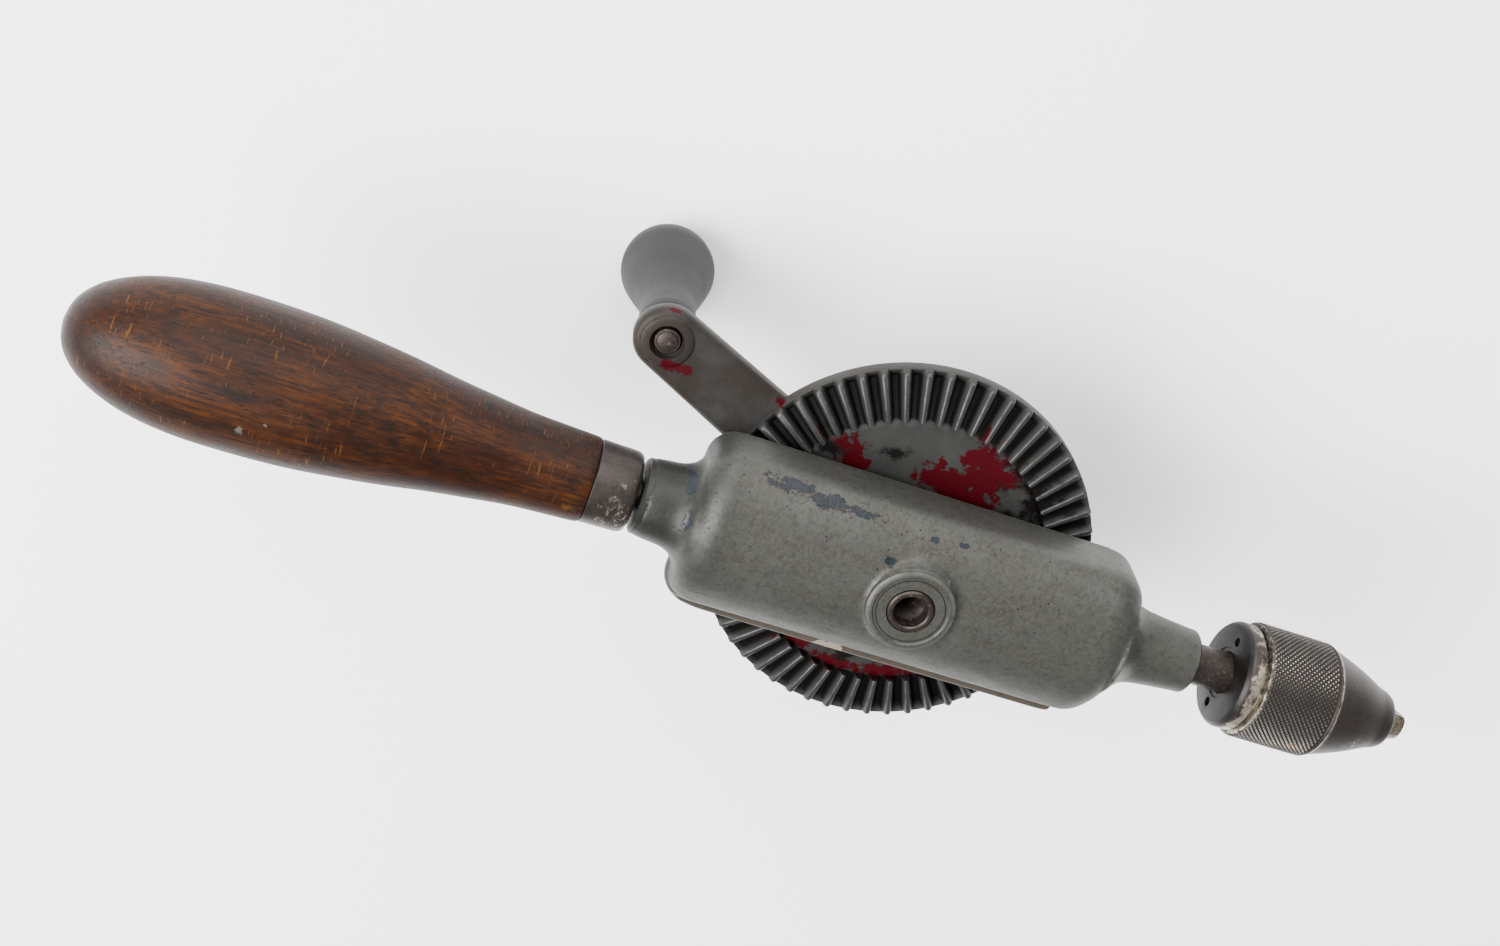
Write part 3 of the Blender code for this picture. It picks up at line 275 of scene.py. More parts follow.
bores = [
    turned("axle_bore", [(BOSS_FACE + 4.0, 0.0), (BOSS_FACE + 4.0, 5.65), (-12.0, 5.65), (-12.0, 0.0)], 64,
           "Z"),
    turned("rear_bore", [(23.0, 0.0), (23.0, BUSH_BORE), (14.5, BUSH_BORE), (14.5, SPINDLE_CLEAR),
                         (8.8, SPINDLE_CLEAR), (8.8, 0.0)], 64),
    turned("nose_bore", [(NOSE_FRONT + 2.0, 0.0), (NOSE_FRONT + 2.0, BUSH_BORE), (60.9, BUSH_BORE),
                         (60.9, SPINDLE_CLEAR), (48.0, SPINDLE_CLEAR), (48.0, 0.0)], 64),
    turned("tang_bore", [(-51.0, 0.0), (-51.0, 3.85), (COLLAR_REAR - 2.0, 3.85), (COLLAR_REAR - 2.0, 0.0)],
           48),
    turned("idler_bore", [(-8.4, 0.0), (-8.4, 3.35), (-53.3, 3.35), (-53.3, 0.0)], 48),
]
worked(housing, ('DIFFERENCE', hollow), ('DIFFERENCE', overhang),
       *[('UNION', solid) for solid in inside + machined], *[('DIFFERENCE', solid) for solid in bores])


def linear(code):
    """An sRGB hex colour as linear RGBA."""
    values = [int(code[i:i + 2], 16) / 255.0 for i in (1, 3, 5)]
    return tuple(v / 12.92 if v <= 0.04045 else ((v + 0.055) / 1.055) ** 2.4 for v in values) + (1.0,)


def add(tree, kind, links=None, out=0, **settings):
    """Add a node; links sets its inputs, each to a socket or a plain value. Gives back one output."""
    node = tree.nodes.new(kind)
    for name, value in settings.items():
        setattr(node, name, value)
    for key, value in (links or {}).items():
        if isinstance(value, bpy.types.NodeSocket):
            tree.links.new(value, node.inputs[key])
        else:
            node.inputs[key].default_value = value
    return node if out is None else node.outputs[out]


def finish(name, **sockets):
    """A material with uniform values set on its shader; returns it, its tree, shader and place.

    place is the position on the piece in mm from the crossing of the drill's two axes.
    """
    made = bpy.data.materials.new(name)
    made.use_nodes = True
    tree = made.node_tree
    shader = tree.nodes["Principled BSDF"]
    for socket, value in sockets.items():
        shader.inputs[socket.replace("_", " ")].default_value = value
    position = add(tree, "ShaderNodeTexCoord", out="Object")
    place = add(tree, "ShaderNodeMapping",
                {"Vector": position, "Scale": (1000.0, 1000.0, 1000.0), "Location": tuple(-1000.0 * AXES)})
    return made, tree, shader, place


def cloud(place, size, low, high, seed=0.0, detail=5.0, ragged=0.6, stretch=(1.0, 1.0, 1.0)):
    """Mask from noise whose blotches are size mm wide: 0 below low, 1 above high."""
    tree = place.id_data
    along = add(tree, "ShaderNodeVectorMath", {0: place, 1: stretch}, operation='DIVIDE')
    noise = add(tree, "ShaderNodeTexNoise",
                {"Vector": along, "W": seed, "Scale": 1.0 / size, "Detail": detail, "Roughness": ragged},
                noise_dimensions='4D')
    return add(tree, "ShaderNodeMapRange", {"Value": noise, "From Min": low, "From Max": high})


def spot(place, centre, reach, torn, soft=0.12):
    """Mask that is 1 inside an ellipsoid, reach mm from its centre, its edge torn by another mask."""
    tree = place.id_data
    offset = add(tree, "ShaderNodeVectorMath", {0: place, 1: centre}, operation='SUBTRACT')
    share = add(tree, "ShaderNodeVectorMath", {0: offset, 1: reach}, operation='DIVIDE')
    distance = add(tree, "ShaderNodeVectorMath", {0: share}, operation='LENGTH', out="Value")
    ragged = add(tree, "ShaderNodeMath", {0: distance, 1: torn}, operation='ADD')
    return add(tree, "ShaderNodeMapRange", {"Value": ragged, "From Min": 1.0 - soft, "From Max": 1.0,
                                            "To Min": 1.0, "To Max": 0.0})


def together(operation, *masks):
    """Join masks: MAXIMUM for either, MULTIPLY for both."""
    tree = masks[0].id_data
    joined = masks[0]
    for mask in masks[1:]:
        joined = add(tree, "ShaderNodeMath", {0: joined, 1: mask}, operation=operation)
    return joined


def coats(shader, socket, ground, *layers):
    """Lay coats over a ground on one shader socket, each (mask, value): hex colours or plain numbers."""
    tree = shader.id_data
    colour = isinstance(ground, str)
    kind, a, b, out = ('RGBA', 6, 7, 2) if colour else ('FLOAT', 2, 3, 0)
    below = linear(ground) if colour else ground
    for mask, value in layers:
        above = linear(value) if isinstance(value, str) else value
        below = add(tree, "ShaderNodeMix", {0: mask, a: below, b: above}, data_type=kind, out=out)
    tree.links.new(below, shader.inputs[socket])


def relief(shader, *heights):
    """Surface relief: each height is (mask, depth in mm)."""
    tree = shader.id_data
    normal = None
    for mask, depth in heights:
        links = {"Height": mask, "Distance": abs(depth) * MM, "Strength": 1.0}
        if normal is not None:
            links["Normal"] = normal
        normal = add(tree, "ShaderNodeBump", links, invert=depth < 0.0)
    tree.links.new(normal, shader.inputs["Normal"])


def pits(place, spacing, size, torn, seed=0.0):
    """Mask of scattered small pits, spacing mm apart and size mm across."""
    tree = place.id_data
    shifted = add(tree, "ShaderNodeVectorMath", {0: place, 1: (seed, seed, seed)}, operation='ADD')
    distance = add(tree, "ShaderNodeTexVoronoi",
                   {"Vector": shifted, "Scale": 1.0 / spacing, "Randomness": 1.0}, out="Distance")
    reach = size / spacing / 2.0
    dots = add(tree, "ShaderNodeMapRange",
               {"Value": distance, "From Min": reach * 0.55, "From Max": reach, "To Min": 1.0, "To Max": 0.0})
    return together('MULTIPLY', dots, torn)


# Bare die-cast alloy gone dull and greenish grey with handling, browner where grease has dried. The eye sees
# cloudy tone, fine porosity, rubbed edges and the last islands of the blue enamel;
# painted shade darkens the rear end and collar, and a painted highlight runs along the moulding's edge.
alloy, tree, shader, place = finish("bare die-cast zinc alloy, worn enamel", Specular_IOR_Level=0.25)
clouds = cloud(place, 11.0, 0.42, 0.6, 1.0)
streaks = cloud(place, 5.0, 0.42, 0.7, 2.0, 6.0, 0.7, (3.0, 1.0, 1.0))
fine = cloud(place, 0.8, 0.35, 0.68, 3.0, 3.0, 0.6)
torn = cloud(place, 3.2, 0.3, 0.75, 4.0, 7.0, 0.72)
pitted = pits(place, 1.9, 0.55, cloud(place, 6.0, 0.42, 0.6, 5.0))
pores = pits(place, 0.9, 0.3, cloud(place, 9.0, 0.4, 0.6, 6.0), 31.0)
front_stain = together('MULTIPLY', spot(place, (40.0, 17.0, 7.0), (30.0, 8.0, 9.0), torn, 0.7), streaks)
nose_stain = spot(place, (62.0, 0.0, 2.0), (9.0, 13.0, 16.0), torn, 0.8)
rear_stain = spot(place, (-51.0, 10.0, 4.0), (4.5, 14.0, 14.0), torn, 0.8)
split_place = add(tree, "ShaderNodeSeparateXYZ", {0: place}, out=None)
# Painted shade: the colour grows darker towards the rear end and collar, standing in for shade there.
rear_painted_shade = add(tree, "ShaderNodeMapRange",
                 {"Value": split_place.outputs[0], "From Min": -42.0, "From Max": -58.0, "To Max": 0.85})
foot_stain = spot(place, (0.0, -25.0, -1.0), (70.0, 7.5, 7.5), torn, 0.7)
stain = together('MAXIMUM', front_stain, together('MULTIPLY', nose_stain, clouds), rear_stain, foot_stain)
paint_torn = cloud(place, 2.2, 0.3, 0.72, 7.0, 8.0, 0.78, (1.6, 1.0, 1.0))
islands = [((-35.0, 17.0, 7.8), (13.0, 3.4, 3.0)), ((-26.0, 16.4, 8.6), (9.0, 3.4, 3.0)),
           ((-17.0, 16.3, 8.8), (9.0, 2.2, 2.2)),
           ((0.4, 15.6, 9.8), (2.4, 1.6, 1.6)), ((7.8, 16.0, 9.3), (2.4, 1.4, 1.4)),
           ((-55.5, 9.3, 3.5), (2.6, 5.0, 6.5)), ((-54.6, 2.5, 10.5), (2.0, 5.0, 3.0)),
           ((-8.3, 8.4, 13.4), (3.2, 3.4, 1.7)), ((-48.0, -17.0, 6.0), (2.5, 2.2, 2.4))]
blue = together('MAXIMUM', *[spot(place, centre, reach, paint_torn, 0.06) for centre, reach in islands])
rust_edge = together('MAXIMUM', *[spot(place, centre, tuple(r * 1.25 for r in reach), paint_torn, 0.3)
                                 for centre, reach in islands[:2]])
chipped = spot(place, (-10.0, -22.2, 4.4), (9.5, 4.0, 3.4), torn, 0.08)
point = add(tree, "ShaderNodeNewGeometry", out="Pointiness")
rubbed = add(tree, "ShaderNodeMapRange", {"Value": point, "From Min": 0.515, "From Max": 0.56})
turned_faces = together('MAXIMUM', spot(place, (0.0, 0.0, BOSS_FACE), (11.4, 11.4, 2.4), 0.0, 0.05),
                        spot(place, (COLLAR_REAR, 0.0, 0.0), (4.6, 40.0, 40.0), 0.0, 0.1),
                        spot(place, (NOSE_FRONT, 0.0, 0.0), (4.4, 40.0, 40.0), 0.0, 0.1))
as_cast = add(tree, "ShaderNodeMath", {0: 1.0, 1: turned_faces}, operation='SUBTRACT')
rubbed = together('MULTIPLY', rubbed, cloud(place, 3.0, 0.3, 0.6, 8.0), as_cast)
around_boss = add(tree, "ShaderNodeVectorMath", {0: place, 1: (1.0, 1.0, 0.0)}, operation='MULTIPLY')
from_axle = add(tree, "ShaderNodeVectorMath", {0: around_boss}, operation='LENGTH', out="Value")
rim_line = add(tree, "ShaderNodeMath", {0: from_axle, 1: 9.9, 2: 0.35}, operation='COMPARE')
tool_line = add(tree, "ShaderNodeMath", {0: from_axle, 1: 8.0, 2: 0.16}, operation='COMPARE')
on_boss = spot(place, (0.0, 0.0, BOSS_FACE), (12.0, 12.0, 1.2), 0.0, 0.05)
rim_line = together('MULTIPLY', rim_line, on_boss, cloud(place, 4.0, 0.35, 0.6, 9.0))
tool_line = together('MULTIPLY', tool_line, on_boss)
mottle = cloud(place, 1.3, 0.5, 0.66, 10.0, 6.0, 0.75)
# Painted highlight: a light line along the top edge of the side moulding, where its rounded edge catches the
# light.
lip_painted_highlight = together('MULTIPLY',
                    add(tree, "ShaderNodeMath", {0: split_place.outputs[1], 1: -20.2, 2: 0.3},
                        operation='COMPARE'),
                    add(tree, "ShaderNodeMath", {0: split_place.outputs[2], 1: 4.2, 2: 1.0},
                        operation='COMPARE'),
                    cloud(place, 6.0, 0.35, 0.6, 20.0))
lip_stain = together('MULTIPLY',
                     add(tree, "ShaderNodeMath", {0: split_place.outputs[1], 1: -20.5},
                         operation='LESS_THAN'),
                     cloud(place, 3.0, 0.3, 0.6, 27.0))
crevice = add(tree, "ShaderNodeMapRange", {"Value": point, "From Min": 0.485, "From Max": 0.44})
crevice = together('MULTIPLY', crevice, as_cast)
coats(shader, "Base Color", "#32322e", (clouds, "#3c3d39"), (streaks, "#2a2620"), (fine, "#393935"),
      (mottle, "#2a2926"), (rear_painted_shade, "#141412"), (stain, "#25211a"), (crevice, "#171410"),
      (pitted, "#11100e"), (pores, "#191815"), (rubbed, "#55544f"), (rim_line, "#454440"),
      (tool_line, "#1b1a17"), (lip_stain, "#403930"), (lip_painted_highlight, "#78756c"), (rust_edge, "#281f16"),
      (blue, "#030a12"), (chipped, "#80766a"))
coats(shader, "Metallic", 0.45, (stain, 0.2), (rust_edge, 0.3), (blue, 0.0), (chipped, 0.6))
coats(shader, "Roughness", 0.47, (clouds, 0.42), (streaks, 0.52), (pitted, 0.8), (rubbed, 0.36),
      (blue, 0.42), (chipped, 0.7))
relief(shader, (clouds, 0.05), (fine, 0.018), (pitted, -0.12), (pores, -0.06), (blue, 0.05), (chipped, -0.5))


def dress(piece, finish_made, body, replaced):
    """Give a finished piece its material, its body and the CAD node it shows."""
    piece.data.materials.clear()
    piece.data.materials.append(finish_made)
    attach(piece, body)
    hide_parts(replaced)


dress(housing, alloy, "frame", "frame_casting")


# ==== Wooden handle, ferrule and tang ==============================================================
# The grip is beech, turned between centres, stained and varnished, then darkened by hands. A rolled
# steel ferrule keeps its slim end from splitting, and a steel tang screwed in the housing holds it.

FERRULE_REAR, FERRULE_FRONT, FERRULE_RADIUS = -77.1, -66.7, 9.85
BUTT = -196.0
neck = FERRULE_REAR - 0.25
grip_length = neck - BUTT
GRIP = [(1.0, 9.95), (0.985, 10.2), (0.93, 10.5), (0.86, 11.0), (0.79, 12.0), (0.71, 13.2), (0.63, 14.7),
        (0.55, 15.9), (0.47, 16.9), (0.39, 17.4), (0.31, 17.5), (0.24, 17.2), (0.17, 16.1), (0.11, 14.1),
        (0.06, 11.2), (0.028, 8.0), (0.01, 4.6), (0.0, 0.0)]
swell = [(BUTT + grip_length * share, max(radius, 0.0)) for share, radius in curve_through(GRIP, 6)]
tenon = [(FERRULE_FRONT - 1.7, 0.0), (FERRULE_FRONT - 1.7, 7.9), (FERRULE_FRONT - 2.3, 8.5), (neck, 8.5)]
grip = turned("grip", tenon + swell, 128, sharp=50.0)
tang_hole = turned("tang_hole",
                   [(FERRULE_FRONT + 2.0, 0.0), (FERRULE_FRONT + 2.0, 3.9), (-133.0, 3.9), (-133.0, 0.0)],
                   48)
worked(grip, ('DIFFERENCE', tang_hole), sharp=50.0)

# Varnished beech: long fine pores, warm red-brown where the varnish is whole and paler where it has
# rubbed off, with black spots and pale dents. Fibres are 0.25 mm wide, drawn at 0.6 mm so they show.
beech, tree, shader, place = finish("stained and varnished beech", Metallic=0.0, Specular_IOR_Level=0.1,
                                    Coat_Weight=0.03, Coat_Roughness=0.3)
fibres = cloud(place, 0.6, 0.4, 0.62, 11.0, 4.0, 0.65, (22.0, 1.0, 1.0))
rings = cloud(place, 3.4, 0.36, 0.64, 12.0, 5.0, 0.6, (26.0, 1.0, 1.0))
pores = cloud(place, 0.42, 0.6, 0.7, 13.0, 2.0, 0.5, (9.0, 1.0, 1.0))
worn = cloud(place, 9.0, 0.46, 0.6, 14.0, 8.0, 0.72, (2.4, 1.0, 1.0))
grime = cloud(place, 6.0, 0.5, 0.64, 15.0, 8.0, 0.74, (2.2, 1.0, 1.0))
specks = pits(place, 3.4, 0.7, cloud(place, 10.0, 0.5, 0.62, 16.0), 5.0)
torn = cloud(place, 1.6, 0.28, 0.75, 17.0, 6.0, 0.7)
scratches = cloud(place, 0.45, 0.62, 0.69, 18.0, 2.0, 0.4, (1.0, 12.0, 6.0))
scratches = together('MULTIPLY', scratches, cloud(place, 14.0, 0.45, 0.55, 19.0))
butt = spot(place, (-190.0, 2.0, 0.0), (26.0, 26.0, 26.0), torn, 0.7)
dark_spot = spot(place, (-103.9, 11.8, 2.8), (2.6, 2.2, 3.4), torn, 0.2)
dents = together('MAXIMUM', spot(place, (-153.2, -4.7, 16.7), (1.6, 2.4, 2.4), torn, 0.2),
                 spot(place, (-158.0, 5.0, 16.8), (0.9, 1.2, 2.0), torn, 0.2),
                 spot(place, (-148.0, -1.5, 17.2), (1.2, 0.8, 1.6), torn, 0.2))
split = spot(place, (-80.5, -3.4, 9.8), (3.6, 2.4, 2.6), torn, 0.25)
near_ferrule = spot(place, (-77.0, 0.0, 0.0), (9.0, 14.0, 14.0), torn, 0.8)
coats(shader, "Base Color", "#1b0700", (rings, "#260d00"), (worn, "#331700"), (butt, "#1f0500"),
      (fibres, "#120400"), (pores, "#060100"), (grime, "#0d0401"), (near_ferrule, "#180a03"),
      (specks, "#060200"), (scratches, "#3e2405"), (dark_spot, "#020101"), (split, "#382100"),
      (dents, "#3b382f"))
coats(shader, "Roughness", 0.48, (worn, 0.56), (butt, 0.34), (pores, 0.6), (dents, 0.7), (split, 0.8))
relief(shader, (fibres, -0.02), (pores, -0.05), (worn, -0.03), (specks, -0.12), (scratches, -0.05),
       (dents, -0.25), (split, -0.3))
dress(grip, beech, "frame", "handle")

ferrule = turned("ferrule_shell", [
    (FERRULE_FRONT, 5.3), (FERRULE_FRONT, 8.3)] + curve_through([
        (FERRULE_FRONT - 0.15, 8.75), (FERRULE_FRONT - 0.8, 9.35), (FERRULE_FRONT - 2.0, 9.65)], 4)
    + [(FERRULE_REAR + 0.3, FERRULE_RADIUS), (FERRULE_REAR, FERRULE_RADIUS - 0.25), (FERRULE_REAR, 8.85),
       (FERRULE_FRONT - 1.3, 8.85), (FERRULE_FRONT - 1.3, 5.3)], 128)

# Steel gone dark brown with a thin oiled rust skin; edges and high spots are rubbed back to metal, and the
# back plate's rim carries a painted highlight on its side towards −Y and +Z. Used for the ferrule and the
# chuck's shell and back plate.
BACK_PLATE = 84.9
patina, tree, shader, place = finish("browned steel, rubbed bright", Specular_IOR_Level=0.5)
blotches = cloud(place, 6.0, 0.4, 0.62, 21.0, 7.0, 0.68)
fine = cloud(place, 1.1, 0.35, 0.68, 22.0, 5.0, 0.65)
bare = cloud(place, 1.6, 0.52, 0.62, 23.0, 8.0, 0.75, (1.0, 1.5, 1.5))
turning = cloud(place, 0.35, 0.3, 0.7, 24.0, 2.0, 0.5, (1.0, 60.0, 60.0))
nicks = pits(place, 2.6, 0.6, cloud(place, 6.0, 0.5, 0.62, 25.0))
torn = cloud(place, 2.2, 0.28, 0.75, 26.0, 7.0, 0.7)
ferrule_bare = together('MULTIPLY', bare, spot(place, (-69.0, -5.0, 8.0), (10.0, 18.0, 14.0), torn, 0.5))
# The back plate's rim is rubbed bright; the second spot keeps it to the side towards −Y and +Z as a painted
# highlight.
disc_rim_rubbed_and_lit = spot(place, (89.0, 0.0, 0.0), (4.4, 90.0, 90.0), torn, 0.3)
disc_rim_rubbed_and_lit = together('MULTIPLY', disc_rim_rubbed_and_lit, spot(place, (88.0, -9.0, 11.0), (60.0, 46.0, 40.0), torn, 0.5))
brassy = spot(place, (104.5, -8.0, 12.3), (4.2, 3.6, 3.6), torn, 0.4)
cone_nicks = together('MULTIPLY', bare, spot(place, (119.0, -3.0, 11.0), (7.0, 5.0, 5.0), torn, 0.6))
rear_face = spot(place, (BACK_PLATE, 0.0, 0.0), (1.3, 80.0, 80.0), 0.0, 0.3)
edge_ring = spot(place, (109.6, 0.0, 0.0), (0.55, 400.0, 400.0), fine, 0.5)
bright = together('MAXIMUM', ferrule_bare, disc_rim_rubbed_and_lit, cone_nicks, together('MULTIPLY', edge_ring, 0.7))
coats(shader, "Base Color", "#261f1d", (blotches, "#1c1613"), (fine, "#2c2622"), (nicks, "#0d0908"),
      (rear_face, "#0c0a09"), (bright, "#a39a88"), (brassy, "#61513a"))
coats(shader, "Metallic", 0.75, (blotches, 0.6), (bright, 0.95), (brassy, 0.9))
coats(shader, "Roughness", 0.4, (blotches, 0.46), (nicks, 0.7), (bright, 0.3))
relief(shader, (fine, 0.012), (turning, 0.008), (nicks, -0.06))
dress(ferrule, patina, "frame", "ferrule")

TANG_FRONT, TANG_END, TANG_RADIUS = -51.3, -132.0, 3.5
tang = turned("tang", [
    (TANG_FRONT, 0.0), (TANG_FRONT, TANG_RADIUS - 0.6), (TANG_FRONT - 0.6, TANG_RADIUS),
    (TANG_END + 0.6, TANG_RADIUS), (TANG_END, TANG_RADIUS - 0.6), (TANG_END, 0.0)], 48)

# Plain turned steel with light surface rust, for the rods, pins, washers and screws.
rusty, tree, shader, place = finish("turned mild steel, light rust", Specular_IOR_Level=0.5)
blotches = cloud(place, 3.0, 0.42, 0.64, 31.0, 7.0, 0.7)
fine = cloud(place, 0.6, 0.35, 0.68, 32.0, 4.0, 0.65)
freckles = cloud(place, 1.1, 0.56, 0.66, 33.0, 7.0, 0.72)
coats(shader, "Base Color", "#2b2623", (blotches, "#1f1a17"), (fine, "#352e2b"), (freckles, "#392821"))
coats(shader, "Metallic", 0.8, (freckles, 0.2))
coats(shader, "Roughness", 0.38, (blotches, 0.5), (freckles, 0.7))
relief(shader, (fine, 0.015), (freckles, 0.03))
dress(tang, rusty, "frame", "handle_tang")


# ==== Axle stud and its fixings ====================================================================
# A turned steel stud pressed in the boss. Its upper end is tapped for a screw-in side handle; a
# slotted screw and a washer in its lower end hold the crank gear on.

STUD_TOP, STUD_LOW, STUD_RADIUS = 17.3, -20.8, 5.4
THREAD_PITCH, THREAD_CORE, THREAD_DEPTH = 1.25, 3.2, 0.5
thread = [(z, r) for step in range(9) for z, r in (
    (STUD_TOP - 3.6 - step * THREAD_PITCH, THREAD_CORE + THREAD_DEPTH),
    (STUD_TOP - 3.6 - (step + 0.5) * THREAD_PITCH, THREAD_CORE))]
stud = turned("stud", [(STUD_TOP - 14.8, 0.0), (STUD_TOP - 14.8, THREAD_CORE)] + list(reversed(thread)) + [
    (STUD_TOP - 3.2, 3.95), (STUD_TOP - 0.35, 3.95), (STUD_TOP, 4.3), (STUD_TOP, 5.0), (STUD_TOP - 0.4,
                                                                                        STUD_RADIUS),
    (STUD_LOW + 0.5, STUD_RADIUS), (STUD_LOW, STUD_RADIUS - 0.5), (STUD_LOW, 2.55), (STUD_LOW + 9.0, 2.55),
    (STUD_LOW + 9.0, 0.0)], 96, "Z")
dress(stud, rusty, "frame", "axle_stud")

screw_head = -23.1
axle_screw = turned("slotted_screw", [(STUD_LOW + 7.5, 0.0), (STUD_LOW + 7.5, 1.9), (STUD_LOW + 7.1, 2.2),
                                      (screw_head + 0.2, 2.2), (screw_head + 0.2, 6.1), (screw_head - 0.1,
                                                                                         6.2),
                                      (screw_head - 1.4, 6.2), (screw_head - 2.1, 5.6), (screw_head - 2.5,
                                                                                         4.2),
                                      (screw_head - 2.5, 0.0)], 64, "Z")
worked(axle_screw, ('DIFFERENCE', slab("slot", (-8.0, -0.8, screw_head - 4.0), (8.0, 0.8, screw_head - 1.2))))
dress(axle_screw, rusty, "frame", "axle_screw")


def washer(name, low, high, bore, radius, centre=(0.0, 0.0), along="Z"):
    """Flat ring with its corners broken."""
    return turned(name, [(high, bore), (high, radius - 0.2), (high - 0.15, radius), (low + 0.15, radius),
                         (low, radius - 0.2), (low, bore)], 64, along, centre)


def span(node, axis):
    """The low and high ends of a CAD node along one axis, in mm from the crossing of the axes."""
    low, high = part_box(node)
    return (low[axis] - AXES[axis]) / MM, (high[axis] - AXES[axis]) / MM


for name, node, bore, radius in (("low_washer", "axle_washer", 2.5, 9.0),
                                 ("gear_shim", "gear_washer", 5.7, 8.8)):
    low, high = span(node, 2)
    dress(washer(name, low, high, bore, radius), rusty, "frame", node)


# ==== Crank gear and arm ===========================================================================
# One casting again: a bevel wheel whose teeth look up at the housing, and an arm that runs out under
# it to the knob. The web between hub and teeth was red; handling and grease have taken most of it.

GEAR_TEETH, GEAR_RADIUS, TOOTH_INNER = 56, 47.5, 35.5
MODULE = 2.0 * GEAR_RADIUS / GEAR_TEETH
PITCH_SLOPE = 0.25
APEX_REACH = GEAR_RADIUS * math.hypot(1.0, PITCH_SLOPE)
TIP_RISE, ROOT_SINK = 0.7 * MODULE, 1.55 * MODULE
PRESSURE = math.tan(math.radians(20.0))
WEB_TOP, WEB_LOW, RIM_LOW, HUB_LOW, HUB_TOP = -10.4, -15.5, -17.0, -20.5, -9.6
HUB_BORE, HUB_RADIUS = 7.6, 9.8
tip_slope = math.tan(math.atan(PITCH_SLOPE) - math.atan2(TIP_RISE, APEX_REACH))
root_slope = math.tan(math.atan(PITCH_SLOPE) + math.atan2(ROOT_SINK, APEX_REACH))

gear = turned("gear_and_arm", [
    (HUB_TOP, HUB_BORE), (HUB_TOP, HUB_RADIUS - 1.0), (WEB_TOP, HUB_RADIUS - 0.4), (WEB_TOP, 33.6),
    (-TOOTH_INNER * root_slope + 0.5, 34.6), (-TOOTH_INNER * root_slope, TOOTH_INNER),
    (-44.4 * root_slope, 44.4), (-45.4 * root_slope + 0.25, 45.4), (-46.3 * root_slope + 1.1, 46.3),
    (-47.0 * root_slope + 1.9, 47.0), (-47.35 * root_slope + 2.1, 47.35), (-GEAR_RADIUS * root_slope + 1.8,
                                                                           GEAR_RADIUS),
    (RIM_LOW + 0.8, GEAR_RADIUS), (RIM_LOW, GEAR_RADIUS - 0.8), (RIM_LOW, TOOTH_INNER + 1.0),
    (WEB_LOW, TOOTH_INNER - 1.0), (WEB_LOW, HUB_RADIUS + 1.5), (HUB_LOW + 0.8, HUB_RADIUS),
    (HUB_LOW, HUB_RADIUS - 0.8), (HUB_LOW, HUB_BORE)], 224, "Z")

# One tooth, rounded at its tip, tapering to the apex of the cone; the root end is sunk in the blank.
tooth_half = ((math.pi / 2.0 - 0.6 * PRESSURE) * MODULE - 0.2) / 2.0
rows = [(-ROOT_SINK - 0.5, tooth_half + (ROOT_SINK + 0.15) * PRESSURE),
        (-ROOT_SINK + 0.25, tooth_half + ROOT_SINK * PRESSURE),
        (-ROOT_SINK + 0.9, tooth_half + (ROOT_SINK - 0.9) * PRESSURE), (0.0, tooth_half),
        (TIP_RISE - 0.32, tooth_half - (TIP_RISE - 0.32) * PRESSURE),
        (TIP_RISE - 0.08, tooth_half - TIP_RISE * PRESSURE - 0.1),
        (TIP_RISE, tooth_half - TIP_RISE * PRESSURE - 0.32)]
profile = [(lift, -half) for lift, half in rows] + [(lift, half) for lift, half in reversed(rows)]
ends = [(TOOTH_INNER - 0.02, 0.35), (TOOTH_INNER + 0.3, 0.0), (GEAR_RADIUS - 1.0, 0.0),
        (GEAR_RADIUS - 0.4, 0.35), (GEAR_RADIUS - 0.06, 1.0)]
loops = []
for radius, drawn_in in ends:
    loop = []
    for lift, half in profile:
        lift = lift - drawn_in * (0.6 if lift > 0.0 else 0.0)
        half = math.copysign(max(abs(half) - drawn_in * 0.4, 0.1), half)
        polar = math.atan(PITCH_SLOPE) - math.atan2(lift, APEX_REACH)
        loop.append((radius * math.cos(half / GEAR_RADIUS), radius * math.sin(half / GEAR_RADIUS),
                     -radius * math.tan(polar)))
    loops.append(loop)
tooth = skin("tooth", loops)
tooth.data.transform(INTO_ROW.inverted())


def nodes_for(name, **inputs):
    """An empty Geometry Nodes tree with a geometry in and out and named inputs."""
    tree = bpy.data.node_groups.new(name, 'GeometryNodeTree')
    tree.interface.new_socket("Geometry", in_out='INPUT', socket_type='NodeSocketGeometry')
    for label, kind in inputs.items():
        tree.interface.new_socket(label.replace("_", " "), in_out='INPUT', socket_type='NodeSocket' + kind)
    tree.interface.new_socket("Geometry", in_out='OUTPUT', socket_type='NodeSocketGeometry')
    return tree, add(tree, "NodeGroupInput", out=None).outputs


def placed(tree, given, solid, points, turn):
    """Copies of an input solid on points, made real and given their metal: the tree's result."""
    solid = add(tree, "GeometryNodeObjectInfo", {"Object": given[solid]}, transform_space='ORIGINAL',
                out="Geometry")
    copies = add(tree, "GeometryNodeInstanceOnPoints",
                 {"Points": points, "Rotation": turn, "Instance": solid})
    real = add(tree, "GeometryNodeRealizeInstances", {"Geometry": copies})
    metal = add(tree, "GeometryNodeSetMaterial", {"Geometry": real, "Material": given["Metal"]})
    add(tree, "NodeGroupOutput", {"Geometry": metal}, out=None)


def grown(name, tree, **values):
    """A new piece made by a Geometry Nodes tree run with these inputs."""
    piece = bpy.data.objects.new(name, bpy.data.meshes.new(name))
    bpy.context.scene.collection.objects.link(piece)
    step = piece.modifiers.new(tree.name, 'NODES')
    step.node_group = tree
    for item in tree.interface.items_tree:
        if item.in_out == 'INPUT' and item.name.replace(" ", "_") in values:
            step[item.identifier] = values[item.name.replace(" ", "_")]
    return freeze(piece)


